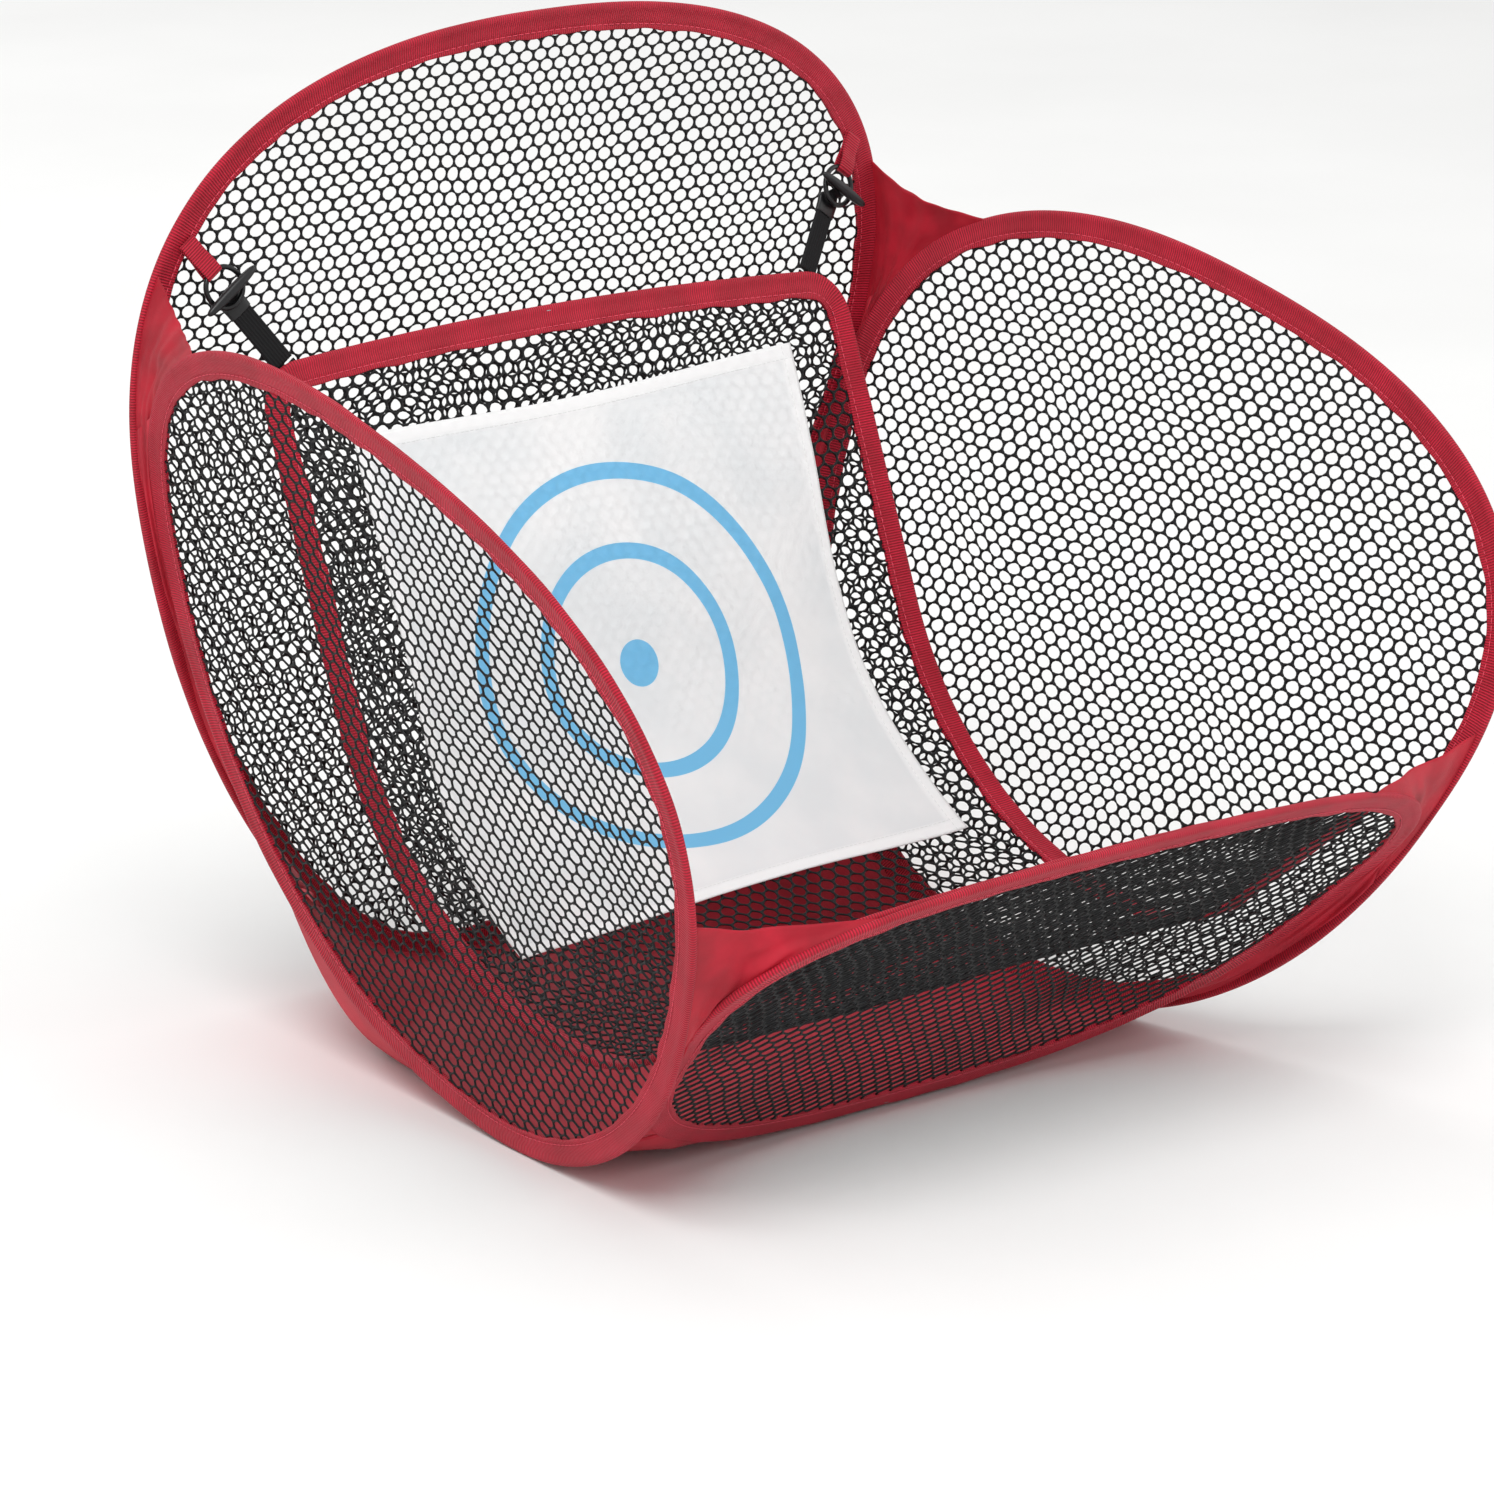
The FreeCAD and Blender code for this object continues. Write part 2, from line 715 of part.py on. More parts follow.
def toggle():
    """Moulded toggle: a cross bar, a neck through the ring and a plate that holds the strap."""
    across = V(0, 1, 0)
    bar_start = V(BAR_X, -BAR_LENGTH / 2, BAR_Z)
    bar = Part.makeCylinder(BAR_D / 2, BAR_LENGTH, bar_start, across)
    bar = bar.makeChamfer(BAR_D / 6, bar.Edges[0:1] + bar.Edges[2:3])
    half_neck = NECK_WIDTH / 2
    neck_reach = (PLATE_START, PLATE_START + NECK_DEPTH)
    neck = box(neck_reach, (-half_neck, half_neck), (-PLATE_DEPTH, BAR_Z))
    half_plate = PLATE_WIDTH / 2
    plate_reach = (-PLATE_DEPTH - PLATE_THICK / 2, -PLATE_DEPTH + PLATE_THICK / 2)
    back_plate = box((PLATE_START, PLATE_END), (-half_plate, half_plate), plate_reach)
    half_strap = STRAP_WIDTH / 2
    strap_reach = (-PLATE_DEPTH - STRAP_THICK / 2, -PLATE_DEPTH + STRAP_THICK / 2)
    pocket_start = PLATE_END - STRAP_IN_PLATE
    pocket = box((pocket_start, PLATE_END + 1), (-half_strap, half_strap), strap_reach)
    return bar.fuse(neck).fuse(back_plate).cut(pocket)


def strap(length):
    """Doubled elastic strap from the toggle's pocket down to the panel's top edge."""
    half_strap = STRAP_WIDTH / 2
    strap_reach = (-PLATE_DEPTH - STRAP_THICK / 2, -PLATE_DEPTH + STRAP_THICK / 2)
    start = PLATE_END - STRAP_IN_PLATE
    return box((start, length + STRAP_WIDTH), (-half_strap, half_strap), strap_reach)


def strap_tail(profile, chain):
    """The strap's sewn end, flat on the back of the panel's top binding."""
    top_frame = end_frame(profile, False)
    foot = strap_foot(profile)
    along = top_frame.inverse().Rotation.multVec(chain.Rotation.multVec(RIGHT))
    along.z = 0
    half_strap = STRAP_WIDTH / 2
    half_thick = TAIL_THICK / 2
    tail = box((-STRAP_WIDTH, TAIL_LENGTH), (-half_strap, half_strap), (-half_thick, half_thick))
    tail = placed(tail, flat_frame(foot, along, -turned(along)))
    reach = 3 * STRAP_WIDTH
    above = box(
        (foot.x - reach, foot.x + reach),
        (foot.y, foot.y + reach),
        (foot.z - reach, foot.z + reach),
    )
    return placed(tail.cut(above), top_frame)


def suspension_pieces(back, profile):
    """The right tab, ring, toggle, strap and sewn strap end."""
    chain, length = chain_frame(back, profile)
    foot = strap_foot(profile)
    reach = 3 * STRAP_WIDTH
    below = box(
        (foot.x - reach, foot.x + reach),
        (foot.y - reach, foot.y + STRAP_END_GAP),
        (foot.z - reach, foot.z + reach),
    )
    below = placed(below, end_frame(profile, False))
    return {
        "tab": placed(tab(), chain),
        "o_ring": placed(o_ring(), chain),
        "toggle": placed(toggle(), chain),
        "strap": placed(strap(length), chain).cut(below),
        "strap_tail": strap_tail(profile, chain),
    }


# ---- cloth floor and gussets ---------------------------------------------------------------


def floor_line(hoop):
    """A point and a direction of the line that the floor keeps to beside a hoop."""
    inward = hoop.inward()
    level = V(inward.x, inward.y, 0)
    face_point = hoop.placement().Base + inward * (BAND_THICK / 2)
    down = face_point.z * inward.z / level.Length
    away = unit(level)
    point = V(face_point.x, face_point.y, 0) + away * (down + FLOOR_GAP + FLOOR_THICK)
    return point, -turned(away)


def crossing(first, second):
    """Where two level lines meet."""
    point, direction = first
    other_point, other_direction = second
    normal = turned(other_direction)
    return point + direction * ((other_point - point).dot(normal) / direction.dot(normal))


def floor_cloth(back, right, front):
    """Flat cloth between the feet of the four petals."""
    rear = crossing(floor_line(right), floor_line(back))
    fore = crossing(floor_line(right), floor_line(front))
    start = (rear + V(-rear.x, rear.y, 0)) * 0.5
    corners = [start, V(-rear.x, rear.y, 0), V(-fore.x, fore.y, 0), fore, rear, start]
    pieces = rounded_run(corners, [FLOOR_CORNER_RADIUS] * 4)
    solid = face(pieces).extrude(V(0, 0, FLOOR_THICK))
    return solid


def hoop_room(hoop):
    """The disc a hoop fills, with the gap that a gusset keeps from it."""
    disc = plate(offset(hoop.outline(), BAND_WIDTH / 2 + GUSSET_GAP), BAND_THICK + 2 * GUSSET_GAP)
    return placed(disc, hoop.placement())


def gusset(corners, hoops):
    """A thin three-cornered cloth plate, cut back from the two hoops it joins."""
    first, second, third = corners
    normal = unit((second - first).cross(third - first))
    shift = normal * (GUSSET_THICK / 2)
    wire = Part.makePolygon([first - shift, second - shift, third - shift, first - shift])
    solid = Part.Face(wire).extrude(normal * GUSSET_THICK)
    for hoop in hoops:
        solid = solid.cut(hoop_room(hoop))
    return solid


def corner_cloth(first_hoop, second_hoop, angles):
    """A cloth corner with two points on the first hoop's fold and one on the second's."""
    out = BAND_WIDTH / 2
    first_angle, second_angle, seam_angle = angles
    corners = [
        first_hoop.at(first_angle, out),
        second_hoop.at(second_angle, out),
        first_hoop.at(seam_angle, out),
    ]
    return gusset(corners, (first_hoop, second_hoop))


def gusset_pieces(back, right, front):
    """The right-hand gussets over the two corner seams, and the floor's corners under them."""
    return {
        "gusset_back": corner_cloth(back, right, BACK_GUSSET_ANGLES),
        "gusset_front": corner_cloth(right, front, FRONT_GUSSET_ANGLES),
        "floor_corner_back": corner_cloth(back, right, BACK_GORE_ANGLES),
        "floor_corner_front": corner_cloth(right, front, FRONT_GORE_ANGLES),
    }


# ---- the whole net -------------------------------------------------------------------------


def build():
    """Every sub-part by node name, standing on the floor about the origin."""
    back = back_hoop()
    front = front_hoop()
    right = right_hoop(back, front)
    profile = target_profile(back, front)
    shapes = {}
    for name, hoop in (("back", back), ("front", front), ("right", right)):
        for piece_name, shape in hoop_pieces(hoop).items():
            shapes[f"{name}_{piece_name}"] = placed(shape, hoop.placement())
    for piece_name in ("wire", "wire_ferrule", "binding", "net"):
        shapes[f"left_{piece_name}"] = mirrored(shapes[f"right_{piece_name}"])
    shapes.update(target_pieces(profile))
    shapes["floor_cloth"] = floor_cloth(back, right, front)
    paired = suspension_pieces(back, profile) | gusset_pieces(back, right, front)
    for piece_name, shape in paired.items():
        shapes[f"{piece_name}_right"] = shape
        shapes[f"{piece_name}_left"] = mirrored(shape)
    rims = [point.y for hoop in (back, front, right) for point in hoop.rim()]
    middle_y = (min(rims) + max(rims)) / 2
    for shape in shapes.values():
        shape.translate(V(0, -middle_y, 0))
    return shapes


def main():
    """Writes one STEP file for each node."""
    os.makedirs("parts", exist_ok=True)
    for name, shape in build().items():
        solids = shape.Solids
        solid = solids[0] if len(solids) == 1 else Part.makeCompound(solids)
        solid.exportStep(os.path.join("parts", f"{name}.step"))


main()
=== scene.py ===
import math

import bmesh
import bpy
import numpy as np
from mathutils import Matrix, Vector


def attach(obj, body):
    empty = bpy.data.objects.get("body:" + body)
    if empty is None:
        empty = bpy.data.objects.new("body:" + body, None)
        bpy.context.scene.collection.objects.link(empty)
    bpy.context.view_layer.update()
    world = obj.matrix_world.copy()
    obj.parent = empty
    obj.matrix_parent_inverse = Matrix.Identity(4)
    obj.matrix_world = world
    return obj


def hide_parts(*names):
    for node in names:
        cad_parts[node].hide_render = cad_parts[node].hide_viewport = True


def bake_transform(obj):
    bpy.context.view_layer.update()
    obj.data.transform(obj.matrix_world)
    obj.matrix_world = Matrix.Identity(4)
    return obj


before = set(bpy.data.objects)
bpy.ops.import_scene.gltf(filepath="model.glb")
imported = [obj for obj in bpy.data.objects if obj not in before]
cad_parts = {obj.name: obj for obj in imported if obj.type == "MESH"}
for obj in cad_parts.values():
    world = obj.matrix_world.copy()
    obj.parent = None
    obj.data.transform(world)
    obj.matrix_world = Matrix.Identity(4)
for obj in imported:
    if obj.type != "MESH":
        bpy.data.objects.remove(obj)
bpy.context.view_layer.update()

# Pop-up golf chipping net, in metres. +Z is up and the golfer stands at -Y. Every panel is a flat
# pattern (p across, q along, h off the cloth) that one placing function bends into its place.

MM = 0.001


# ---- small vector tools -------------------------------------------------------------------


def turn(axis, degrees):
    """Rotation matrix about X or Z by an angle: the usual cosine and sine pairs."""
    c, s = math.cos(math.radians(degrees)), math.sin(math.radians(degrees))
    if axis == "x":
        return np.array([[1, 0, 0], [0, c, -s], [0, s, c]])
    return np.array([[c, -s, 0], [s, c, 0], [0, 0, 1]])


def unit(v):
    """Vectors scaled to length one."""
    return v / np.maximum(np.linalg.norm(v, axis=-1, keepdims=True), 1e-12)


def ease(t):
    """Smooth step: 0 to 1 with level ends, three t squared less two t cubed."""
    t = np.clip(t, 0, 1)
    return t * t * (3 - 2 * t)


def ripple(seed, size, count=7):
    """A smooth random field over a plane: a sum of sine waves in random directions.

    size is the typical wavelength. The field's values run about from -1 to 1.
    """
    dice = np.random.default_rng(seed)
    turns = dice.uniform(0, 2 * math.pi, count)
    waves = 2 * math.pi / (size * dice.uniform(0.6, 1.6, count))
    shifts = dice.uniform(0, 2 * math.pi, count)

    def field(a, b):
        total = 0
        for t, w, s in zip(turns, waves, shifts):
            total = total + np.sin(w * (a * math.cos(t) + b * math.sin(t)) + s)
        return total / math.sqrt(count)

    return field


def run_of(path):
    """Running length of a path at each of its points."""
    return np.concatenate([[0], np.cumsum(np.linalg.norm(np.diff(path, axis=0), axis=1))])


def soften(line, times):
    """Averages each inner point of an open line with its two neighbours, so many times."""
    for _ in range(times):
        line[1:-1] = (line[:-2] + 2 * line[1:-1] + line[2:]) / 4
    return line


def seed_of(name):
    """A piece's own random seed: the sum of its letters' codes."""
    return sum(ord(letter) for letter in name)


# ---- panels -------------------------------------------------------------------------------

OUTLINE_STEP = 2.2 * MM  # between the points of a panel's outline
TAPE_FOLD = 6.0 * MM  # from the tape's middle line out to its fold


class Hoop:
    """A flat oval panel: a superellipse that widens upwards, stood up, turned and placed."""

    def __init__(self, wide, high, power, taper, lean, yaw, roll, place, mirror=False):
        self.wide, self.high, self.power, self.taper = wide * MM, high * MM, power, taper
        self.axes = turn("z", yaw) @ turn("x", 90 - lean) @ turn("z", roll)
        self.place_at = np.array(place) * MM
        self.sign = -1.0 if mirror else 1.0
        angles = np.radians(np.arange(-90, 270, 0.5))
        self.angles = np.degrees(angles)
        c, s = np.cos(angles), np.sin(angles)
        x = np.sign(c) * np.abs(c) ** (2 / power)
        y = np.sign(s) * np.abs(s) ** (2 / power)
        self.loop = np.stack([self.wide * (1 + taper * y) * x, self.high * y], 1)
        self.finish_loop()

    def finish_loop(self):
        """Resamples the outline evenly, then takes its running length and outward normals."""
        closed = np.vstack([self.loop, self.loop[:1]])
        run = run_of(closed)
        self.length = run[-1]
        count = int(round(self.length / OUTLINE_STEP))
        even = np.arange(count) * self.length / count
        marks = np.append(self.angles, self.angles[0] + 360)
        self.theta = np.interp(even, run, marks)
        self.loop = np.stack([np.interp(even, run, closed[:, i]) for i in (0, 1)], 1)
        ahead = np.roll(self.loop, -1, 0) - np.roll(self.loop, 1, 0)
        for _ in range(6):
            ahead = (np.roll(ahead, 1, 0) + 2 * ahead + np.roll(ahead, -1, 0)) / 4
        ahead = unit(ahead)
        self.out = np.stack([ahead[:, 1], -ahead[:, 0]], 1)
        self.run = even

    def place(self, p, q, h):
        """World points of flat points: the panel's own axes times p, q and h."""
        flat = np.stack(np.broadcast_arrays(p, q, h), -1)
        world = flat @ self.axes.T + self.place_at
        return world * np.array([self.sign, 1, 1])

    def at(self, theta, outwards):
        """World points on the outline at angles, moved outwards in the panel's plane."""
        order = np.argsort(self.theta)
        theta = (np.asarray(theta, float) + 90) % 360 - 90
        p, q, a, b = [
            np.interp(theta, self.theta[order], column[order])
            for column in (*self.loop.T, *self.out.T)
        ]
        return self.place(p + a * outwards, q + b * outwards, 0.0)


class Curl(Hoop):
    """The target panel: a round-cornered oblong laid on a profile of lines and arcs.

    q runs down from its top edge, and the profile gives the side view (y, z) at each q.
    """

    def __init__(self, points, radii, half_width, top_corner, top_bow, low_corner, low_bow):
        self.sign = 1.0
        self.profile_from(np.array(points) * MM, np.array(radii) * MM)
        w, total = half_width * MM, self.profile_run[-1]
        top = self.end(w, top_corner * MM, top_bow * MM)
        low = self.end(w, low_corner * MM, low_bow * MM)
        low = np.stack([low[:, 0], total - low[:, 1]], 1)
        self.loop = np.vstack([top[::-1], low])
        self.angles = np.linspace(-90, 269.5, len(self.loop))
        self.finish_loop()

    @staticmethod
    def end(w, corner, bow):
        """One bowed end with round corners, from its right side to its left, q down from 0.

        The sizes are the tape's outer fold, and the points lie inside it, on its middle line.
        """
        across = w - corner
        drop = bow - math.sqrt((bow - corner) ** 2 - across**2)
        reach = math.asin(across / (bow - corner))
        a = np.linspace(0, math.pi / 2 - reach, 24)
        tight, wide = corner - TAPE_FOLD, bow - TAPE_FOLD
        right = np.stack([across + tight * np.cos(a), drop - tight * np.sin(a)], 1)
        b = np.linspace(reach, -reach, 60)[1:-1]
        middle = np.stack([wide * np.sin(b), bow - wide * np.cos(b)], 1)
        left = right[::-1] * np.array([-1, 1])
        return np.vstack([right, middle, left])

    def profile_from(self, points, radii):
        """Side view from its corner points: each inner corner is rounded by its own radius."""
        path = [points[0]]
        for i, r in enumerate(radii):
            before, here, after = points[i : i + 3]
            a, b = unit(here - before), unit(after - here)
            angle = math.acos(float(np.clip(a @ b, -1, 1)))
            reach = r * math.tan(angle / 2)
            side = math.copysign(1, a[0] * b[1] - a[1] * b[0])
            start = here - a * reach
            centre = start + np.array([-a[1], a[0]]) * side * r
            t = np.linspace(0, angle, 60) * side
            c, s = np.cos(t), np.sin(t)
            x, y = start - centre
            path.append(centre + np.stack([x * c - y * s, x * s + y * c], 1))
        path = np.vstack([*path, points[-1]])
        run = run_of(path)
        even = np.linspace(0, run[-1], 800)
        self.profile_run = even
        self.profile = np.stack([np.interp(even, run, path[:, i]) for i in (0, 1)], 1)
        ahead = unit(soften(np.gradient(self.profile, axis=0), 10))
        self.upper = np.stack([ahead[:, 1], -ahead[:, 0]], 1)

    def place(self, p, q, h):
        """World points: the profile's point at q plus h times the way it faces the golfer."""
        p, q, h = np.broadcast_arrays(p, q, h)
        inside = np.clip(q, 0, self.profile_run[-1])
        y, z = [np.interp(inside, self.profile_run, self.profile[:, i]) for i in (0, 1)]
        ny, nz = [np.interp(inside, self.profile_run, self.upper[:, i]) for i in (0, 1)]
        return np.stack([p, y + ny * h, z + nz * h], -1)


BACK = Hoop(182, 206.5, 2.33, 0.355, -7, 0, 0, (0, 185.743, 211.111))
FRONT = Hoop(179, 98.5, 2.87, 0.135, 46, 180, 0, (0, -136.946, 74.743))
RIGHT_AT = (191.564, 6.055, 157.419)
RIGHT = Hoop(176.5, 153.5, 2.37, 0.2, 14.2, -82.5, -15.7, RIGHT_AT)
LEFT = Hoop(176.5, 153.5, 2.37, 0.2, 14.2, -82.5, -15.7, RIGHT_AT, mirror=True)
PROFILE = [(153.013, 298.5), (57.995, 51.0), (-83.865, 51.0), (-204.006, 144.866)]
TARGET = Curl(PROFILE, (165, 78), 159, 22, 2000, 32, 700)

# name: panel, the body it moves with, and the tilt of its netting's rows
PANELS = {
    "back": (BACK, "basket", 0.0),
    "right": (RIGHT, "basket", 9.7),
    "left": (LEFT, "basket", 9.7),
    "front": (FRONT, "front_petal", 0.0),
    "target": (TARGET, "target", 4.0),
}


# ---- meshes -------------------------------------------------------------------------------


def new_piece(name, points, faces, material, uv=None):
    """A smooth mesh object of points and faces, with an optional UV for each point."""
    if isinstance(faces, np.ndarray):
        faces = faces.tolist()
    mesh = bpy.data.meshes.new(name)
    mesh.from_pydata(np.asarray(points, float).tolist(), [], faces)
    mesh.polygons.foreach_set("use_smooth", np.full(len(mesh.polygons), True))
    if uv is not None:
        corner = np.zeros(len(mesh.loops), int)
        mesh.loops.foreach_get("vertex_index", corner)
        layer = mesh.uv_layers.new(name="UVMap")
        layer.data.foreach_set("uv", np.asarray(uv, float)[corner].ravel())
    mesh.materials.append(material)
    mesh.update()
    piece = bpy.data.objects.new(name, mesh)
    bpy.context.scene.collection.objects.link(piece)
    return piece


def grid_faces(rows, columns, close_rows=False, close_columns=False):
    """Quads of a grid of points, row after row, either way closed into a loop."""
    r = np.arange(rows if close_rows else rows - 1)
    c = np.arange(columns if close_columns else columns - 1)
    r, c = np.meshgrid(r, c, indexing="ij")
    r2, c2 = (r + 1) % rows, (c + 1) % columns
    quads = [r * columns + c, r2 * columns + c, r2 * columns + c2, r * columns + c2]
    return np.stack([k.ravel() for k in quads], 1)


def settle(piece, body, slot, *nodes):
    """Rides a piece on its body and hides the nodes it stands for; its slot, the name of its
    finish, is not used.
    """
    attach(piece, body)
    if nodes:
        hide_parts(*nodes)
    return piece


def repaint(name, material):
    """Gives a part that keeps its own shape a better material."""
    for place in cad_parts[name].material_slots:
        place.material = material


def outward_normals(piece):
    """Turns a closed mesh's faces outwards."""
    mesh = bmesh.new()
    mesh.from_mesh(piece.data)
    bmesh.ops.recalc_face_normals(mesh, faces=mesh.faces)
    mesh.to_mesh(piece.data)
    mesh.free()


def thicken(piece, thick):
    """Gives a sheet its thickness, half of it to each side, by a live solidify."""
    solid = piece.modifiers.new("cloth", "SOLIDIFY")
    solid.thickness = thick
    solid.offset = 0.0


# ---- materials ----------------------------------------------------------------------------

# A wave texture repeats every 2 pi / (20 scale), so its scale is this over the thread pitch.
WAVE_SCALE = 0.314159
TINT_LOW, TINT_HIGH = 0.35, 0.68  # noise values where a drifting tone has reached its ends


def srgb(code, alpha=1.0):
    """Linear colour of an sRGB hex code."""
    parts = [int(code[i : i + 2], 16) / 255 for i in (1, 3, 5)]
    return [c / 12.92 if c <= 0.04045 else ((c + 0.055) / 1.055) ** 2.4 for c in parts] + [alpha]


def node(tree, kind, inputs=None, **settings):
    """Adds a node with its settings, and sets or links its inputs."""
    made = tree.nodes.new(kind)
    for key, value in settings.items():
        setattr(made, key, value)
    for key, value in (inputs or {}).items():
        if isinstance(value, bpy.types.NodeSocket):
            tree.links.new(value, made.inputs[key])
        else:
            made.inputs[key].default_value = value
    return made


def blank(name, finish):
    """A material whose Principled shader takes the finish's values on its own inputs."""
    material = bpy.data.materials.new(name)
    material.use_nodes = True
    tree = material.node_tree
    shader = tree.nodes["Principled BSDF"]
    for key, value in finish.items():
        shader.inputs[key].default_value = value
    return material, tree, shader


def tinted(tree, low, high, patches, vector):
    """Colour that drifts between two tones by a noise with so many patches in a metre."""
    noise = node(tree, "ShaderNodeTexNoise", {"Vector": vector, "Scale": patches, "Detail": 4.0})
    ramp = node(tree, "ShaderNodeValToRGB", {"Fac": noise.outputs["Fac"]})
    for stop, at, tone in zip(ramp.color_ramp.elements, (TINT_LOW, TINT_HIGH), (low, high)):
        stop.position, stop.color = at, srgb(tone)
    return ramp.outputs["Color"]


def weave(tree, shader, vector, threads):
    """Sets of threads pressed into a surface one over another, and the waves that draw them.

    Each set has its direction, its pitch in millimetres, its unevenness, and the strength and
    depth of its bump, the depth in millimetres.
    """
    waves, below = [], {}
    for direction, pitch, uneven, strength, depth in threads:
        wave = node(
            tree,
            "ShaderNodeTexWave",
            {"Vector": vector, "Scale": WAVE_SCALE / (pitch * MM), "Distortion": uneven},
            bands_direction=direction,
        ).outputs["Fac"]
        pressed = {"Height": wave, "Strength": strength, "Distance": depth * MM, **below}
        below = {"Normal": node(tree, "ShaderNodeBump", pressed).outputs["Normal"]}
        waves.append(wave)
    tree.links.new(below["Normal"], shader.inputs["Normal"])
    return waves


def roughen(tree, shader, vector, grains, detail, strength, depth):
    """Presses a noise with so many grains in a metre into a surface, depth in millimetres."""
    noise = node(tree, "ShaderNodeTexNoise", {"Vector": vector, "Scale": grains, "Detail": detail})
    pressed = {"Height": noise.outputs["Fac"], "Strength": strength, "Distance": depth * MM}
    dent = node(tree, "ShaderNodeBump", pressed)
    tree.links.new(dent.outputs["Normal"], shader.inputs["Normal"])


def see_through(tree, shader, tone, clear):
    """Thin cloth: part of the light passes as a glow of its tone, and part goes straight on."""
    glow = node(tree, "ShaderNodeBsdfTranslucent", {"Color": tone})
    gap = node(tree, "ShaderNodeBsdfTransparent")
    cloth = node(
        tree, "ShaderNodeMixShader", {0: 0.35, 1: shader.outputs["BSDF"], 2: glow.outputs["BSDF"]}
    )
    whole = node(
        tree, "ShaderNodeMixShader", {0: clear, 1: cloth.outputs["Shader"], 2: gap.outputs["BSDF"]}
    )
    output = tree.nodes["Material Output"]
    tree.links.new(whole.outputs["Shader"], output.inputs["Surface"])


def binding_material():
    """Red grosgrain polyester tape, woven: crosswise ribs with painted shade in their grooves, and
    a soft silky sheen.
    """
    finish = {
        "Roughness": 0.62,
        "Sheen Weight": 0.25,
        "Sheen Roughness": 0.4,
        "Sheen Tint": srgb("#ff8a92"),
        "Specular IOR Level": 0.35,
    }
    material, tree, shader = blank("red_grosgrain_tape", finish)
    coord = node(tree, "ShaderNodeTexCoord")
    # warp threads 0.45 mm apart; ribs across the tape 0.9 mm apart, drawn at 1.15 mm to show
    threads = (("Y", 0.45, 0.6, 0.3, 0.12), ("X", 1.15, 0.0, 0.9, 0.35))
    _, ribs = weave(tree, shader, coord.outputs["UV"], threads)
    tone = tinted(tree, "#b40f2c", "#d4163a", 55, coord.outputs["Object"])
    # painted shade: the ribs' wave darkens the base colour to #84081b in the grooves between the
    # ribs, and the drifting red tone stays on their crowns
    painted_groove_shade = {"Factor": ribs, "A": srgb("#84081b"), "B": tone}
    deep = node(tree, "ShaderNodeMix", painted_groove_shade, data_type="RGBA")
    tree.links.new(deep.outputs["Result"], shader.inputs["Base Color"])
    return material


def thread_material(name, code):
    """Sewing thread, twisted polyester: one plain colour with a fine twist in its bump."""
    material, tree, shader = blank(name, {"Base Color": srgb(code), "Roughness": 0.6})
    place = node(tree, "ShaderNodeTexCoord").outputs["Object"]
    roughen(tree, shader, place, 2500, 2.0, 0.4, 0.1)
    return material


def grained_material(name, finish, low, high, patches, grain=None):
    """A surface whose tone drifts between two, with an optional fine grain (see roughen)."""
    material, tree, shader = blank(name, finish)
    place = node(tree, "ShaderNodeTexCoord").outputs["Object"]
    tree.links.new(tinted(tree, low, high, patches, place), shader.inputs["Base Color"])
    if grain:
        roughen(tree, shader, place, *grain)
    return material


def sheer_material():
    """Thin red polyester lining, plain woven: glows where light comes through it."""
    finish = {"Roughness": 0.5, "Sheen Weight": 0.3, "Sheen Tint": srgb("#ff9aa0")}
    material, tree, shader = blank("red_sheer_polyester", finish)
    coord = node(tree, "ShaderNodeTexCoord")
    tone = tinted(tree, "#b20d28", "#d41836", 45, coord.outputs["Object"])
    tree.links.new(tone, shader.inputs["Base Color"])
    threads = [(way, 0.5, 0.4, 0.3, 0.08) for way in "XY"]
    weave(tree, shader, coord.outputs["UV"], threads)
    see_through(tree, shader, tone, 0.04)
    return material


def floor_material():
    """Red Oxford polyester, plain woven: a matt cloth with an even 0.7 mm weave."""
    finish = {"Roughness": 0.66, "Sheen Weight": 0.2, "Sheen Tint": srgb("#ff8a92")}
    material, tree, shader = blank("red_oxford_cloth", finish)
    place = node(tree, "ShaderNodeTexCoord").outputs["Object"]
    weave(tree, shader, place, [(way, 0.7, 0.3, 0.4, 0.12) for way in "XY"])
    tree.links.new(tinted(tree, "#a40c25", "#c41430", 30, place), shader.inputs["Base Color"])
    return material


RINGS_AT = (0.0, 0.155, 0.0)  # centre of the printed rings on the target panel
RINGS = ((-10.5, 10.5), (44.5, 51.5), (78.5, 85.5))  # the dot and two rings, in millimetres
PRINT_WANDER = 6 * MM  # a noise of 0 to 1 times this moves the print's edge, by some 2 mm
LIGHT_THROUGH = 0.125  # the share of light that goes straight through one layer of voile


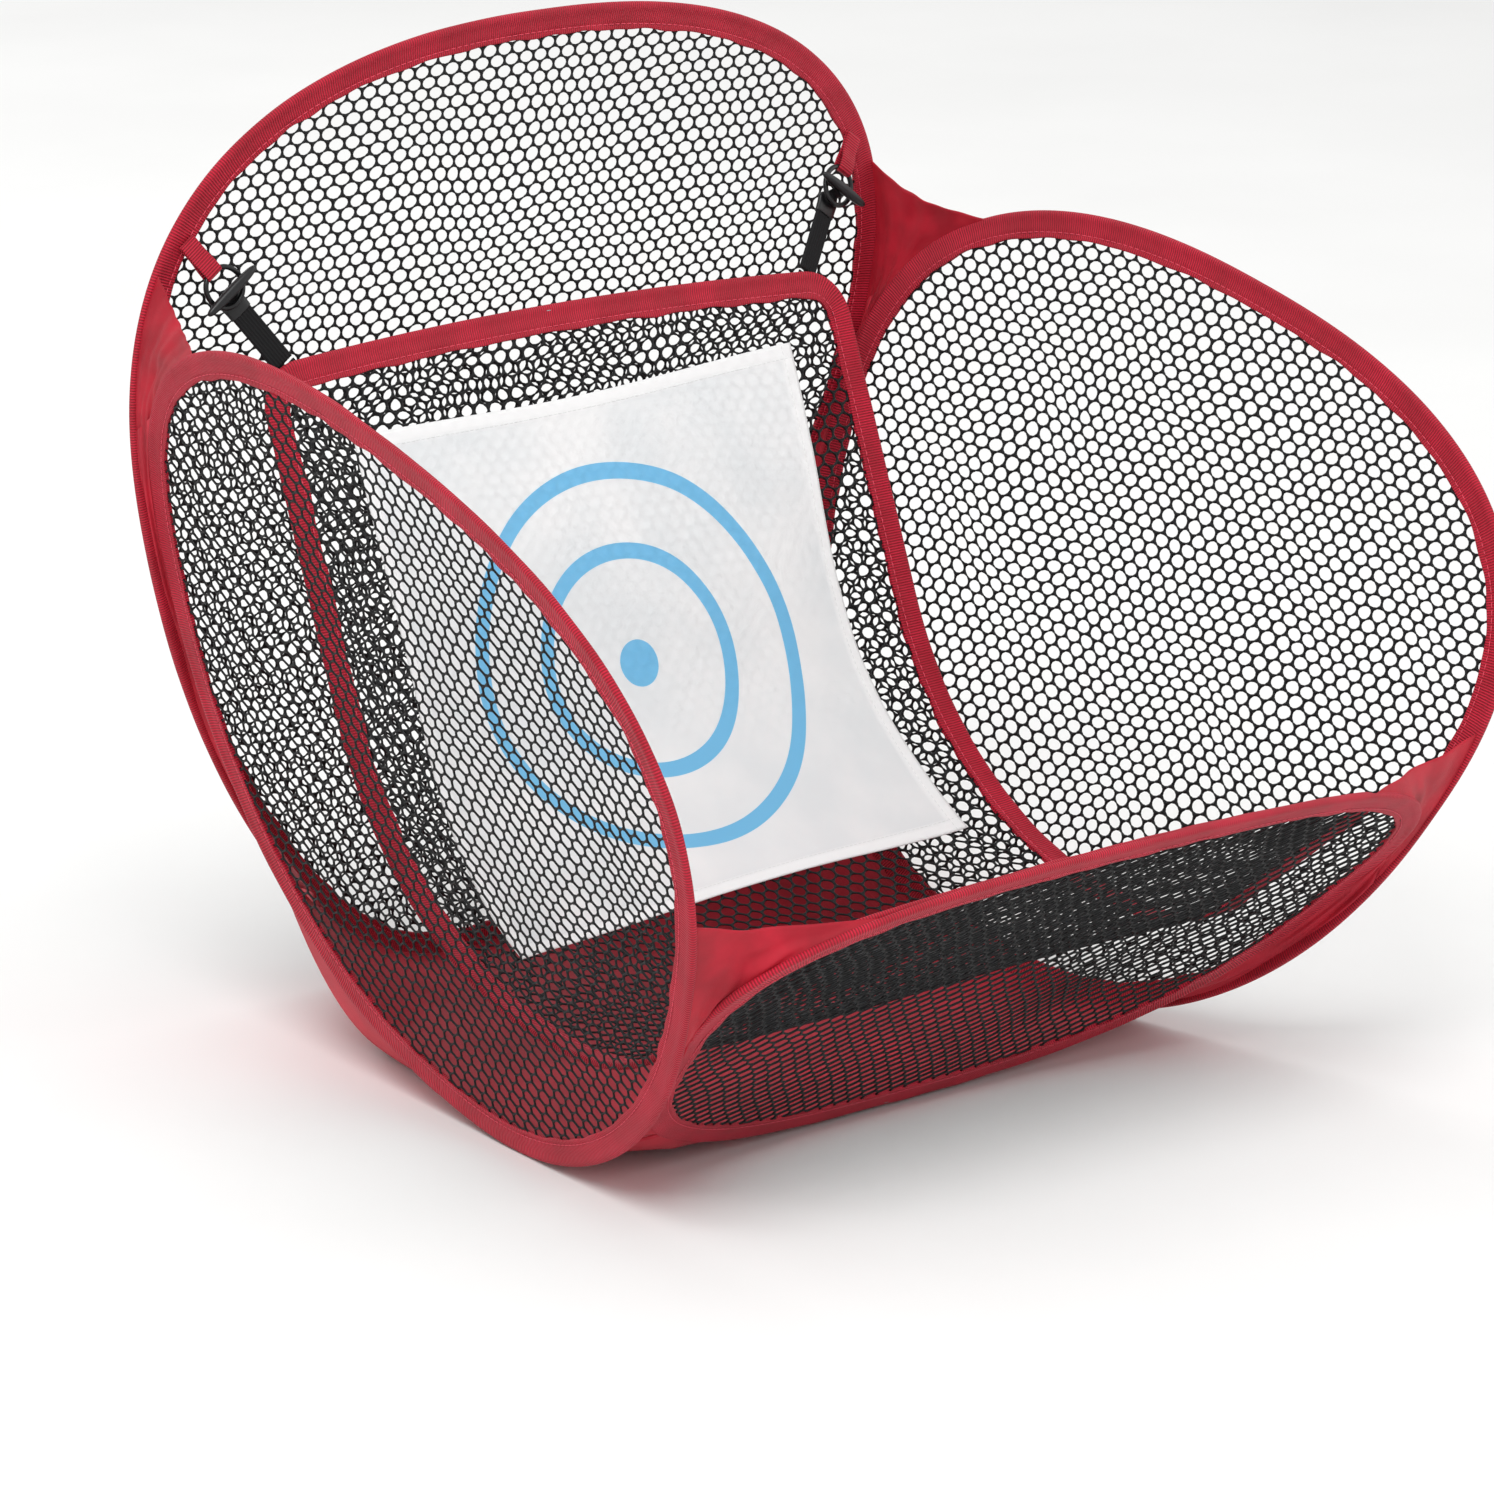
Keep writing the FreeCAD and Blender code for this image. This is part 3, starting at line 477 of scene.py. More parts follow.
def target_cloth_material():
    """White polyester voile, screen printed: thin, a little see-through, with sky-blue rings."""
    finish = {"Roughness": 0.6, "Sheen Weight": 0.15}
    material, tree, shader = blank("white_printed_voile", finish)
    coord = node(tree, "ShaderNodeTexCoord")
    uv = coord.outputs["UV"]
    wobble = node(tree, "ShaderNodeTexNoise", {"Vector": uv, "Scale": 9.0, "Detail": 1.0})
    away = node(tree, "ShaderNodeVectorMath", {0: uv, 1: RINGS_AT}, operation="DISTANCE")
    moved = {0: wobble.outputs["Fac"], 1: PRINT_WANDER, 2: away.outputs["Value"]}
    wander = node(tree, "ShaderNodeMath", moved, operation="MULTIPLY_ADD").outputs["Value"]
    printed = 0.0
    for low, high in RINGS:
        band = {0: wander, 1: (low + high) / 2 * MM + PRINT_WANDER / 2, 2: (high - low) / 2 * MM}
        ring = node(tree, "ShaderNodeMath", band, operation="COMPARE").outputs["Value"]
        either = {0: printed, 1: ring}
        printed = node(tree, "ShaderNodeMath", either, operation="MAXIMUM").outputs["Value"]
    plain = tinted(tree, "#f6f8f9", "#ffffff", 25, coord.outputs["Object"])
    hem = node(tree, "ShaderNodeAttribute", attribute_name="hem").outputs["Fac"]
    cloth = {"Factor": hem, "A": plain, "B": srgb("#ffffff")}
    white = node(tree, "ShaderNodeMix", cloth, data_type="RGBA").outputs["Result"]
    inked = {"Factor": printed, "A": white, "B": srgb("#86d2f6")}
    colour = node(tree, "ShaderNodeMix", inked, data_type="RGBA").outputs["Result"]
    tree.links.new(colour, shader.inputs["Base Color"])
    weave(tree, shader, uv, [(way, 0.5, 0.4, 0.25, 0.06) for way in "XY"])
    # a folded hem lets no light straight through
    open_share = {0: hem, 1: -LIGHT_THROUGH, 2: LIGHT_THROUGH}
    clear = node(tree, "ShaderNodeMath", open_share, operation="MULTIPLY_ADD").outputs["Value"]
    see_through(tree, shader, colour, clear)
    return material


def elastic_material():
    """Black woven elastic: dull, with fine crosswise picks between its lengthwise ribs, and
    painted shade in the picks' grooves.
    """
    finish = {"Roughness": 0.75, "Specular IOR Level": 0.3}
    material, tree, shader = blank("black_woven_elastic", finish)
    uv = node(tree, "ShaderNodeTexCoord").outputs["UV"]
    (picks,) = weave(tree, shader, uv, [("X", 0.6, 0.0, 0.5, 0.12)])
    # painted shade: the picks' wave darkens the base colour to #060607 in the grooves between the
    # picks, and #131315 stays on their crowns
    painted_groove_shade = {"Factor": picks, "A": srgb("#060607"), "B": srgb("#131315")}
    tone = node(tree, "ShaderNodeMix", painted_groove_shade, data_type="RGBA")
    tree.links.new(tone.outputs["Result"], shader.inputs["Base Color"])
    return material


TAPE = binding_material()
RED_THREAD = thread_material("red_sewing_thread", "#d8485c")
WHITE_THREAD = thread_material("white_sewing_thread", "#e4e4e4")
# knitted polyester mesh: near-black yarn, whose crown catches a grey gleam on its filaments
NETTING = grained_material(
    "black_knitted_mesh", {"Roughness": 0.5, "Specular IOR Level": 0.25},
    "#0c0c0d", "#161618", 160, (3500, 2.0, 0.5, 0.1),
)
SHEER = sheer_material()
FLOOR_CLOTH = floor_material()
TARGET_CLOTH = target_cloth_material()
ELASTIC = elastic_material()
# black acetal, injection moulded: satin, with a very fine eroded grain, glossier on the rings
ACETAL_GRAIN = (1400, 3.0, 0.15, 0.05)
ACETAL = grained_material(
    "black_moulded_acetal", {"Roughness": 0.38, "IOR": 1.48},
    "#0b0b0c", "#141416", 90, ACETAL_GRAIN,
)
RING_PLASTIC = grained_material(
    "black_ring_acetal", {"Roughness": 0.3, "IOR": 1.48},
    "#0a0a0b", "#141416", 90, ACETAL_GRAIN,
)
# drawn spring steel and crimped steel tube: grey metal with a fine drawn grain
STEEL_TONES = ("#8b8d90", "#b4b6b9", 120, (1800, 2.0, 0.2, 0.05))
WIRE_STEEL = grained_material(
    "drawn_spring_steel", {"Metallic": 1.0, "Roughness": 0.32}, *STEEL_TONES
)
FERRULE_STEEL = grained_material(
    "crimped_steel_tube", {"Metallic": 1.0, "Roughness": 0.4}, *STEEL_TONES
)
# matt studio card
CARD = grained_material("white_card", {"Roughness": 0.9}, "#ededec", "#f1f1f0", 3)


# ---- netting ------------------------------------------------------------------------------

CELL_PITCH = 7.8 * MM  # between cell columns
CELL_ROW = 5.1 * MM  # between cell rows
CELL_LINK = 3.0 * MM  # upright side that two cells share
YARN = 1.05 * MM
# how far a cell's opening draws in, in yarns, at its six corners and at its six sides
CORNER_DRAW = (0.95, 0.98, 0.98, 0.95, 0.98, 0.98)
SIDE_DRAW = (0.40, 0.62, 0.40, 0.40, 0.62, 0.40)
RIM = 12  # points round a cell: its corners and the middles of its sides
NET_UNDER_TAPE = 3.2 * MM  # how far the net's edge lies inside the outline's middle line
NET_FREE = 40 * MM  # how far from the tape the netting moves as it likes


def hex_cells(centres):
    """Twelve boundary points and twelve opening points for each cell.

    A cell is a hexagon with two upright sides and slanted top and bottom sides. Its opening
    is that hexagon drawn in by about half a yarn at its sides, and further at its corners.
    """
    a, b, c = CELL_PITCH / 2, CELL_LINK / 2, CELL_ROW - CELL_LINK
    corners = np.array([(0, b + c), (a, b), (a, -b), (0, -b - c), (-a, -b), (-a, b)])
    middles = (corners + np.roll(corners, -1, 0)) / 2
    rim = np.stack([corners, middles], 1).reshape(RIM, 2)
    reach = np.linalg.norm(rim, axis=1)
    draw = YARN * np.stack([CORNER_DRAW, SIDE_DRAW], 1).ravel()
    hole = rim * ((reach - draw) / reach)[:, None]
    return centres[:, None] + rim, centres[:, None] + hole


def net_sway(name, p, q, depth):
    """How far the netting lies off its panel: a slow wave that dies out at the tape."""
    return 0.9 * MM * ripple(seed_of(name) + 2, 0.16)(p, q) * ease(-depth / NET_FREE)


def netting(name, panel, tilt):
    """Hexagonal knitted net over a whole panel, with round-cornered openings.

    Every cell is a ring of quads from its hexagon, which stands proud by half a yarn on both
    faces, down to its opening at mid thickness, so each yarn is lens shaped in section.
    """
    spin = turn("z", tilt)[:2, :2]
    middle = panel.loop.mean(0)
    reach = np.abs(panel.loop - middle).max() * 1.5
    rows, columns = int(reach / CELL_ROW), int(reach / CELL_PITCH)
    j, i = np.meshgrid(np.arange(-rows, rows + 1), np.arange(-columns, columns + 1), indexing="ij")
    centres = np.stack([(i + (j % 2) / 2) * CELL_PITCH, j * CELL_ROW], -1).reshape(-1, 2)
    centres = centres @ spin.T + middle
    keep = edge_distance(panel, centres)[0] < -NET_UNDER_TAPE + 1.2 * MM
    flat = (centres[keep] - middle) @ spin
    rim, hole = hex_cells(flat)
    count = len(rim)
    keys = np.round(rim.reshape(-1, 2) / (0.01 * MM)).astype(np.int64)
    _, first, shared = np.unique(keys, axis=0, return_index=True, return_inverse=True)
    shared = shared.reshape(-1)
    rim_points = rim.reshape(-1, 2)[first] @ spin.T + middle
    hole_points = hole.reshape(-1, 2) @ spin.T + middle
    n = len(rim_points)
    rim_id = shared.reshape(count, RIM)
    hole_id = 2 * n + np.arange(count * RIM).reshape(count, RIM)
    rim_next, hole_next = np.roll(rim_id, -1, 1), np.roll(hole_id, -1, 1)
    top = np.stack([rim_id, hole_id, hole_next, rim_next], -1).reshape(-1, 4)
    low = np.stack([rim_id + n, rim_next + n, hole_next, hole_id], -1).reshape(-1, 4)
    pairs = np.stack([rim_id, rim_next], -1).reshape(-1, 2)
    _, at, uses = np.unique(np.sort(pairs, 1), axis=0, return_index=True, return_counts=True)
    edge = pairs[at[uses == 1]]
    border = np.stack([edge[:, 0], edge[:, 1], edge[:, 1] + n, edge[:, 0] + n], 1)
    faces = np.vstack([top, low, border])
    flat = np.vstack([rim_points, rim_points, hole_points])
    lift = np.concatenate([np.full(n, 1.0), np.full(n, -1.0), np.zeros(count * RIM)])
    seed = seed_of(name)
    drift_p, drift_q, jitter = ripple(seed, 0.09), ripple(seed + 1, 0.09), ripple(seed + 3, 0.012)
    depth, nearest = edge_distance(panel, flat)
    loose = ease(-depth / NET_FREE)
    drift, shake = 1.5 * MM, 0.22 * MM
    p = flat[:, 0] + (drift * drift_p(*flat.T) + shake * jitter(*flat.T)) * loose
    q = flat[:, 1] + (drift * drift_q(*flat.T) + shake * jitter(*flat.T[::-1])) * loose
    over = np.maximum(depth + NET_UNDER_TAPE, 0)
    p -= panel.out[nearest, 0] * over
    q -= panel.out[nearest, 1] * over
    h = lift * YARN * 0.5 + net_sway(name, p, q, depth)
    if panel.sign < 0:
        faces = faces[:, ::-1]
    piece = new_piece(name + "_netting", panel.place(p, q, h), faces, NETTING)
    outward_normals(piece)
    return piece, np.ptp(panel.loop, axis=0) - 2 * NET_UNDER_TAPE


def edge_distance(panel, points):
    """Signed distance to the outline, outside positive, and the nearest outline point."""
    distance = np.empty(len(points))
    nearest = np.empty(len(points), int)
    batch = 4000
    for start in range(0, len(points), batch):
        part = points[start : start + batch]
        apart = part[:, None] - panel.loop[None]
        at = (apart**2).sum(-1).argmin(1)
        side = ((part - panel.loop[at]) * panel.out[at]).sum(1)
        distance[start : start + batch] = side
        nearest[start : start + batch] = at
    far = np.linalg.norm(points - panel.loop[nearest], axis=1)
    return np.sign(distance) * far, nearest


# ---- binding ------------------------------------------------------------------------------

# Half of the folded tape's section: distance out from its middle line, and half thickness.
# It bulges round the wire near its fold, and its stitched row dips.
TAPE_HALF = np.array([
    (5.95, 0.0), (5.75, 0.85), (5.2, 1.35), (4.4, 1.56), (3.5, 1.56), (2.5, 1.32), (1.5, 1.05),
    (0.2, 0.95), (-1.4, 0.95), (-2.6, 0.90), (-3.3, 0.66), (-3.7, 0.66), (-4.4, 0.92),
    (-5.3, 0.95), (-5.85, 0.85), (-6.0, 0.55), (-5.7, 0.22),
]) * MM
TAPE_THICK = 1.6 * MM  # the most that the tape stands off its panel's plane
TAPE_FACE = 0.80 * MM  # the dipped row's face, where the stitches lie
STITCH_LINE = -3.5 * MM
STITCH_PITCH = 3.3 * MM


def binding(name, panel):
    """Folded tape swept round the outline, its free edge puckered by the stitching."""
    # the upper half of the section, and its mirror image below
    section = np.vstack([TAPE_HALF, TAPE_HALF[1:][::-1] * np.array([1, -1])])
    count, width = len(panel.loop), len(section)
    run = panel.run[:, None]
    seed = seed_of(name) + 40
    pucker, bulge = ripple(seed, 0.018), ripple(seed + 1, 0.04)
    o = np.broadcast_to(section[:, 0], (count, width))
    h = np.broadcast_to(section[:, 1], (count, width))
    near_edge = ease((-o - 1 * MM) / (4 * MM))
    o = o + near_edge * 0.35 * MM * pucker(run, 0 * run)
    h = h * (1 + 0.10 * bulge(run, o * 3)) + near_edge * 0.22 * MM * pucker(run, 0 * run + 0.3)
    h = np.clip(h, -TAPE_THICK, TAPE_THICK)
    p = panel.loop[:, None, 0] + panel.out[:, None, 0] * o
    q = panel.loop[:, None, 1] + panel.out[:, None, 1] * o
    points = panel.place(p, q, h).reshape(-1, 3)
    around = run_of(section)
    uv = np.stack(np.broadcast_arrays(run, around[None]), -1).reshape(-1, 2)
    piece = new_piece(name + "_tape", points, grid_faces(count, width, True, True), TAPE, uv)
    fix_uv_seams(piece, panel.length, around[-1])
    outward_normals(piece)
    return piece


def fix_uv_seams(piece, length, width):
    """Moves UV corners by a whole turn on the faces that close the tape's two loops."""
    layer = piece.data.uv_layers[0]
    uv = np.zeros(len(layer.data) * 2)
    layer.data.foreach_get("uv", uv)
    uv = uv.reshape(-1, 4, 2)
    for axis, size in ((0, length), (1, width)):
        high = uv[:, :, axis].max(1, keepdims=True)
        wraps = high - uv[:, :, axis].min(1, keepdims=True) > size / 2
        uv[:, :, axis] += np.where(wraps & (uv[:, :, axis] < size / 2), size, 0)
    layer.data.foreach_set("uv", uv.ravel())


def stitches(name, place, length, line_height, material, pitch=STITCH_PITCH, thick=0.42 * MM):
    """A row of short sewn stitches.

    Each stitch is a six-sided bead that is thickest in its middle and dips at both ends.
    place(run, side, height) gives world points for a distance along the row.
    """
    count = int(length / pitch)
    at = (np.arange(count) + 0.5) * length / count
    along = np.array([-0.42, -0.30, 0.0, 0.30, 0.42]) * pitch
    girth = np.array([0.35, 0.85, 1.0, 0.85, 0.35]) * thick / 2
    sink = np.array([-0.5, -0.1, 0.15, -0.1, -0.5]) * thick
    rings, sides = len(along), 6
    turns = np.linspace(0, 2 * math.pi, sides, endpoint=False)
    run = at[:, None, None] + along[None, :, None] + 0 * turns
    side = girth[None, :, None] * np.cos(turns) + 0 * run
    height = line_height + sink[None, :, None] + girth[None, :, None] * np.sin(turns) + 0 * run
    points = place(run, side, height).reshape(-1, 3)
    # each bead's tube, then its two end caps of two quads each
    caps = np.array([[0, 1, 2, 3], [0, 3, 4, 5], [27, 26, 25, 24], [29, 28, 27, 24]])
    one = np.vstack([grid_faces(rings, sides, False, True), caps])
    faces = (one[None] + np.arange(count)[:, None, None] * rings * sides).reshape(-1, 4)
    piece = new_piece(name, points, faces, material)
    outward_normals(piece)
    return piece


def loop_place(panel, line):
    """Placing function for a row sewn round a panel, a set distance from the outline."""
    run_full = np.append(panel.run, panel.length)

    def place(run, side, height):
        p, q, a, b = [
            np.interp(run % panel.length, run_full, np.append(column, column[0]))
            for column in (*panel.loop.T, *panel.out.T)
        ]
        return panel.place(p + a * (line + side), q + b * (line + side), height)

    return place


def join(name, pieces):
    """One object of several, in the order given."""
    bpy.ops.object.select_all(action="DESELECT")
    for piece in pieces:
        piece.select_set(True)
    bpy.context.view_layer.objects.active = pieces[0]
    bpy.ops.object.join()
    pieces[0].name = name
    return pieces[0]


for key, (panel, body, tilt) in PANELS.items():
    net, size = netting(key, panel, tilt)
    settle(net, body, "charcoal_mesh", key + "_net")
    settle(binding(key, panel), body, "red_binding", key + "_binding")
    sewn = loop_place(panel, STITCH_LINE)
    faces = (TAPE_FACE, -TAPE_FACE)
    rows = [stitches("row", sewn, panel.length, face, RED_THREAD) for face in faces]
    settle(join(key + "_topstitch", rows), body, "red_binding")
    repaint(key + "_wire", WIRE_STEEL)
    repaint(key + "_wire_ferrule", FERRULE_STEEL)


# ---- target cloth -------------------------------------------------------------------------

CLOTH_CORNERS = np.array([(-120, 40), (121, 34), (126, 262), (-130, 275)]) * MM
CLOTH_STEPS = 150
CLOTH_LIFT = 0.35 * MM  # least height of the cloth's middle over the netting
SIDES_IN, ENDS_IN = 6.0 * MM, 3.0 * MM  # how far its free edges draw in between its corners
HEM = 7.0 * MM


def target_cloth():
    """White cloth on the target panel: a bent oblong with drawn-in edges and shallow creases."""
    steps = np.linspace(0, 1, CLOTH_STEPS)
    u, v = np.meshgrid(steps, steps, indexing="ij")
    tl, tr, br, bl = CLOTH_CORNERS
    top, low = [a + (b - a) * v[..., None] for a, b in ((tl, tr), (bl, br))]
    p, q = np.moveaxis(top + (low - top) * u[..., None], -1, 0)
    p = p + (0.5 - v) * 2 * SIDES_IN * np.sin(math.pi * u) ** 2 * (np.abs(v - 0.5) * 2) ** 4
    q = q + (0.5 - u) * 2 * ENDS_IN * np.sin(math.pi * v) ** 2 * (np.abs(u - 0.5) * 2) ** 4
    broad, fine = ripple(5, 0.11), ripple(6, 0.035)
    away = np.minimum(np.minimum(u, 1 - u), np.minimum(v, 1 - v))
    drag = np.sin((p * 0.6 + q) / 0.021) * ease(1 - away / 0.35)
    depth = edge_distance(TARGET, np.stack([p.ravel(), q.ravel()], 1))[0].reshape(p.shape)
    rest = net_sway("target", p, q, depth) + YARN / 2 + CLOTH_LIFT
    relief = 0.5 * broad(p, q) + 0.2 * fine(p, q) + 0.18 * drag
    h = np.maximum(rest + 0.45 * MM * (relief + 1.2), rest)
    hem = ease((HEM - away * 0.24) / (1.0 * MM))
    upper = TARGET.place(p, q, h + 0.10 * MM + 0.22 * MM * hem)
    lower = TARGET.place(p, q, h - 0.10 * MM - 0.10 * MM * hem)
    points = np.vstack([upper.reshape(-1, 3), lower.reshape(-1, 3)])
    n = CLOTH_STEPS
    top = grid_faces(n, n)
    line = np.arange(n)
    # the border, once round: first row, last column, last row back, first column back
    ring = np.concatenate([line, line[1:] * n + n - 1, (n * n - 2 - line)[:-1], line[-2:0:-1] * n])
    after = np.roll(ring, -1)
    side = np.stack([ring, after, after + n * n, ring + n * n], 1)
    faces = np.vstack([top, top[:, ::-1] + n * n, side])
    uv = np.tile(np.stack([p.ravel(), q.ravel()], 1), (2, 1))
    piece = new_piece("target_cloth_sheet", points, faces, TARGET_CLOTH, uv)
    layer = piece.data.attributes.new("hem", "FLOAT", "POINT")
    layer.data.foreach_set("value", np.tile(hem.ravel(), 2))
    outward_normals(piece)
    return piece, (p, q, h)


cloth, cloth_grid = target_cloth()
settle(cloth, "target", "white_target", "target_cloth")


def cloth_row(u0, v0, u1, v1):
    """Placing function along a straight line of the cloth's own square, just over its face."""
    last = CLOTH_STEPS - 1
    steps = np.linspace(0, 1, CLOTH_STEPS)
    iu, iv = (u0 + (u1 - u0) * steps) * last, (v0 + (v1 - v0) * steps) * last
    a, b = iu.astype(int).clip(0, last - 1), iv.astype(int).clip(0, last - 1)
    fa, fb = iu - a, iv - b

    def read(g):
        low = g[a, b] * (1 - fb) + g[a, b + 1] * fb
        high = g[a + 1, b] * (1 - fb) + g[a + 1, b + 1] * fb
        return low * (1 - fa) + high * fa

    line = np.stack([read(g) for g in cloth_grid], 1)
    length = run_of(line[:, :2])[-1]
    run_at = np.linspace(0, length, CLOTH_STEPS)
    ahead = unit(line[-1, :2] - line[0, :2])

    def place(run, side, height):
        x, y, z = [np.interp(run, run_at, line[:, i]) for i in range(3)]
        return TARGET.place(x - ahead[1] * side, y + ahead[0] * side, z + height)

    return place, length


hem_rows = (
    (0.028, 0, 0.028, 1), (0.972, 0, 0.972, 1), (0, 0.022, 1, 0.022), (0, 0.978, 1, 0.978),
)
rows = [
    stitches("row", *cloth_row(*ends), 0.28 * MM, WHITE_THREAD, pitch=2.6 * MM, thick=0.3 * MM)
    for ends in hem_rows
]
settle(join("target_cloth_stitches", rows), "target", "white_target")


# ---- floor and gussets --------------------------------------------------------------------


WEB_STEPS = 30  # points across a gusset or a floor corner
GROUND_GAP = 0.5 * MM
SEAM_OUT = 4.2 * MM  # how far out on a binding the gussets and floor corners are sewn
LEAST_SHARE = 0.301  # least share of its oblong that a sheet's area may be


def sheet_area(grid):
    """Area of a grid of points: half the cross product of every cell's diagonals."""
    one = grid[1:, 1:] - grid[:-1, :-1]
    two = grid[:-1, 1:] - grid[1:, :-1]
    return np.linalg.norm(np.cross(one, two), axis=-1).sum() / 2


def web(name, a, b, sag, folds, seed, hem, material, slot):
    """Cloth ruled between two matching runs of points, bellied and creased between them.

    Across the web t runs from the first run to the second. The belly is sag times the product
    4 t (1 - t), and the creases are waves along the web that fade at both seams. The free end
    is drawn down between its seams by hem times its width.
    """
    s, t = np.linspace(0, 1, len(a))[:, None], np.linspace(0, 1, WEB_STEPS)
    grid = a[:, None] * (1 - t[:, None]) + b[:, None] * t[:, None]
    along = unit(np.gradient(grid, axis=0))
    normal = unit(np.cross(unit(np.gradient(grid, axis=1)), along))
    width = np.linalg.norm(b - a, axis=1)[:, None]
    belly = 4 * t * (1 - t)
    crease = ripple(seed, 0.5, 5)(s * 1.4, t * 2)
    lift = sag * belly * width + folds * belly * np.minimum(width / (30 * MM), 1) * crease
    pull = ease((s - 0.55) / 0.45) * belly * hem * width[-1]
    grid = grid + normal * lift[..., None] - along * pull[..., None]
    run = run_of(grid[:, WEB_STEPS // 2])
    uv = np.stack(np.broadcast_arrays(run[:, None], t * width.max()), -1).reshape(-1, 2)
    grid[..., 2] = np.maximum(grid[..., 2], GROUND_GAP)
    faces = grid_faces(*grid.shape[:2])
    piece = new_piece(name + "_cloth", grid.reshape(-1, 3), faces, material, uv)
    thicken(piece, 0.35 * MM)
    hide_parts(name)
    length, area = float(run[-1]), float(sheet_area(grid))
    side = max(float(width.max()), area / length)
    area = max(area, LEAST_SHARE * side * length)
    return piece


def corner_cloths(side, panel):
    """The four cloths of one side: gussets above and floor corners below, back and front."""
    sign = -1 if side == "left" else 1
    t = np.linspace(0, 1, 40)

    def seam(hoop, start, end):
        angles = start + (end - start) * t
        if side == "left" and hoop is not panel:
            angles = 180 - angles
        return hoop.at(angles, SEAM_OUT)

    # each has two seams, its sag, its creases in millimetres, a random seed and its hem
    for name, a, b, sag, folds, seed, hem in (
        ("gusset_back_", seam(BACK, 5, 33), seam(panel, 160, 131), 0.06, 0.8, 21, 0.06),
        ("floor_corner_back_", seam(BACK, -56, 13), seam(panel, 225, 153), 0.03, 1.2, 41, 0.0),
        ("gusset_front_", seam(panel, -14, 12), seam(FRONT, 170, 122), 0.06, 0.8, 31, 0.07),
        ("floor_corner_front_", seam(panel, -56, -12), seam(FRONT, 216, 168), 0.04, 0.8, 31, 0.0),
    ):
        cloth = (SHEER, "red_mesh") if "gusset" in name else (FLOOR_CLOTH, "red_floor")
        piece = web(name + side, a, b, sag * sign, folds * MM, seed + sign, hem, *cloth)
        if "front" in name:
            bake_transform(piece)
        else:
            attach(piece, "basket")


corner_cloths("right", RIGHT)
corner_cloths("left", LEFT)


def floor_rim():
    """The floor's seam: the hoops' lower arcs, joined by straight runs across the corners."""

    def arc(panel, start, end, count=70):
        return panel.at(np.linspace(start, end, count), 3.2 * MM)

    def run(a, b, count=26):
        return a + (b - a) * np.linspace(0, 1, count)[1:-1, None]

    right = arc(RIGHT, 225, 304)
    left = right[::-1] * np.array([-1, 1, 1])
    arcs = [arc(BACK, 236, 304), right, arc(FRONT, 216, 324), left]
    rim = [np.vstack([a, run(a[-1], b[0])]) for a, b in zip(arcs, arcs[1:] + arcs[:1])]
    return np.vstack(rim)


FLOOR_GAP = 0.7 * MM
FLOOR_MIDDLE = np.array([0, 0.052])
FLOOR_FLAT = np.array([0.112, 0.088])  # half sizes of the part that lies on the ground


def floor_cloth():
    """The floor as one polar grid: flat in its middle, then rising to its seam.

    The flat part's edge is a superellipse. From there each ray climbs to its rim point along
    the line between the two, less a sag of 4 k (1 - k) times a share of its height.
    """
    rim = floor_rim()
    level = rim[:, :2] - FLOOR_MIDDLE
    angle = np.arctan2(level[:, 1], level[:, 0])
    power = 3.0
    ray = np.stack([np.cos(angle), np.sin(angle)], 1)
    parts = np.abs(ray / FLOOR_FLAT) ** power
    reach = np.minimum(parts.sum(1) ** (-1 / power), np.linalg.norm(level, axis=1) * 0.9)
    toe = np.column_stack([FLOOR_MIDDLE + ray * reach[:, None], np.full(len(rim), FLOOR_GAP)])
    middle = np.append(FLOOR_MIDDLE, FLOOR_GAP)
    steps = np.linspace(0.02, 1, 40)
    flat_part = middle + (toe[None] - middle) * steps[:, None, None]
    crease = np.clip(ripple(77, 0.12)(flat_part[..., 0], flat_part[..., 1]), 0, 2)
    flat_part[..., 2] += 0.8 * MM * crease * np.clip(steps * 1.4, 0, 1)[:, None]
    k = np.linspace(0, 1, 24)[1:, None, None]
    climb = toe[None] * (1 - k) + rim[None] * k
    climb[..., 2] -= 0.35 * (rim[:, 2] * (4 * k * (1 - k))[..., 0])
    climb[..., 2] = np.maximum(climb[..., 2], FLOOR_GAP)
    grid = np.vstack([flat_part, climb])
    rows, columns = grid.shape[:2]
    points = np.vstack([grid.reshape(-1, 3), middle])
    ring = np.arange(columns)
    hub = np.stack([np.full(columns, rows * columns), ring, np.roll(ring, -1)], 1)
    faces = grid_faces(rows, columns, False, True)[:, ::-1].tolist() + hub.tolist()
    piece = new_piece("floor_cloth_sheet", points, faces, FLOOR_CLOTH)
    thicken(piece, 0.6 * MM)
    return piece, grid


floor_piece, floor_grid = floor_cloth()
settle(floor_piece, "basket", "red_floor", "floor_cloth")
floor_area = float(sheet_area(np.concatenate([floor_grid, floor_grid[:, :1]], 1)))
floor_size = [float(v) * 1.02 for v in np.ptp(floor_grid.reshape(-1, 3), axis=0)[:2]]
floor_area = min(floor_area, floor_size[0] * floor_size[1])


# ---- suspension ---------------------------------------------------------------------------

CHAIN_AT = np.array([179.585, 166.311, 343.939]) * MM
CHAIN_AXES = np.array([
    [-0.56611, -0.255921, -0.783597],
    [0.810591, 0.0, -0.585613],
    [0.149871, -0.966698, 0.207447],
])  # rows: down the strap, across it, to the front
RING_R, RING_WIRE = 8.4 * MM, 1.1 * MM
TAB_LONG = 14.0 * MM
RING_X = TAB_LONG + RING_R
BAR_X = RING_X + 2.0 * MM


def chain_place(points, side):
    """World points of points in the suspension's own frame, mirrored for the left one."""
    world = CHAIN_AT + np.asarray(points) @ CHAIN_AXES
    return world * np.array([-1 if side == "left" else 1, 1, 1])


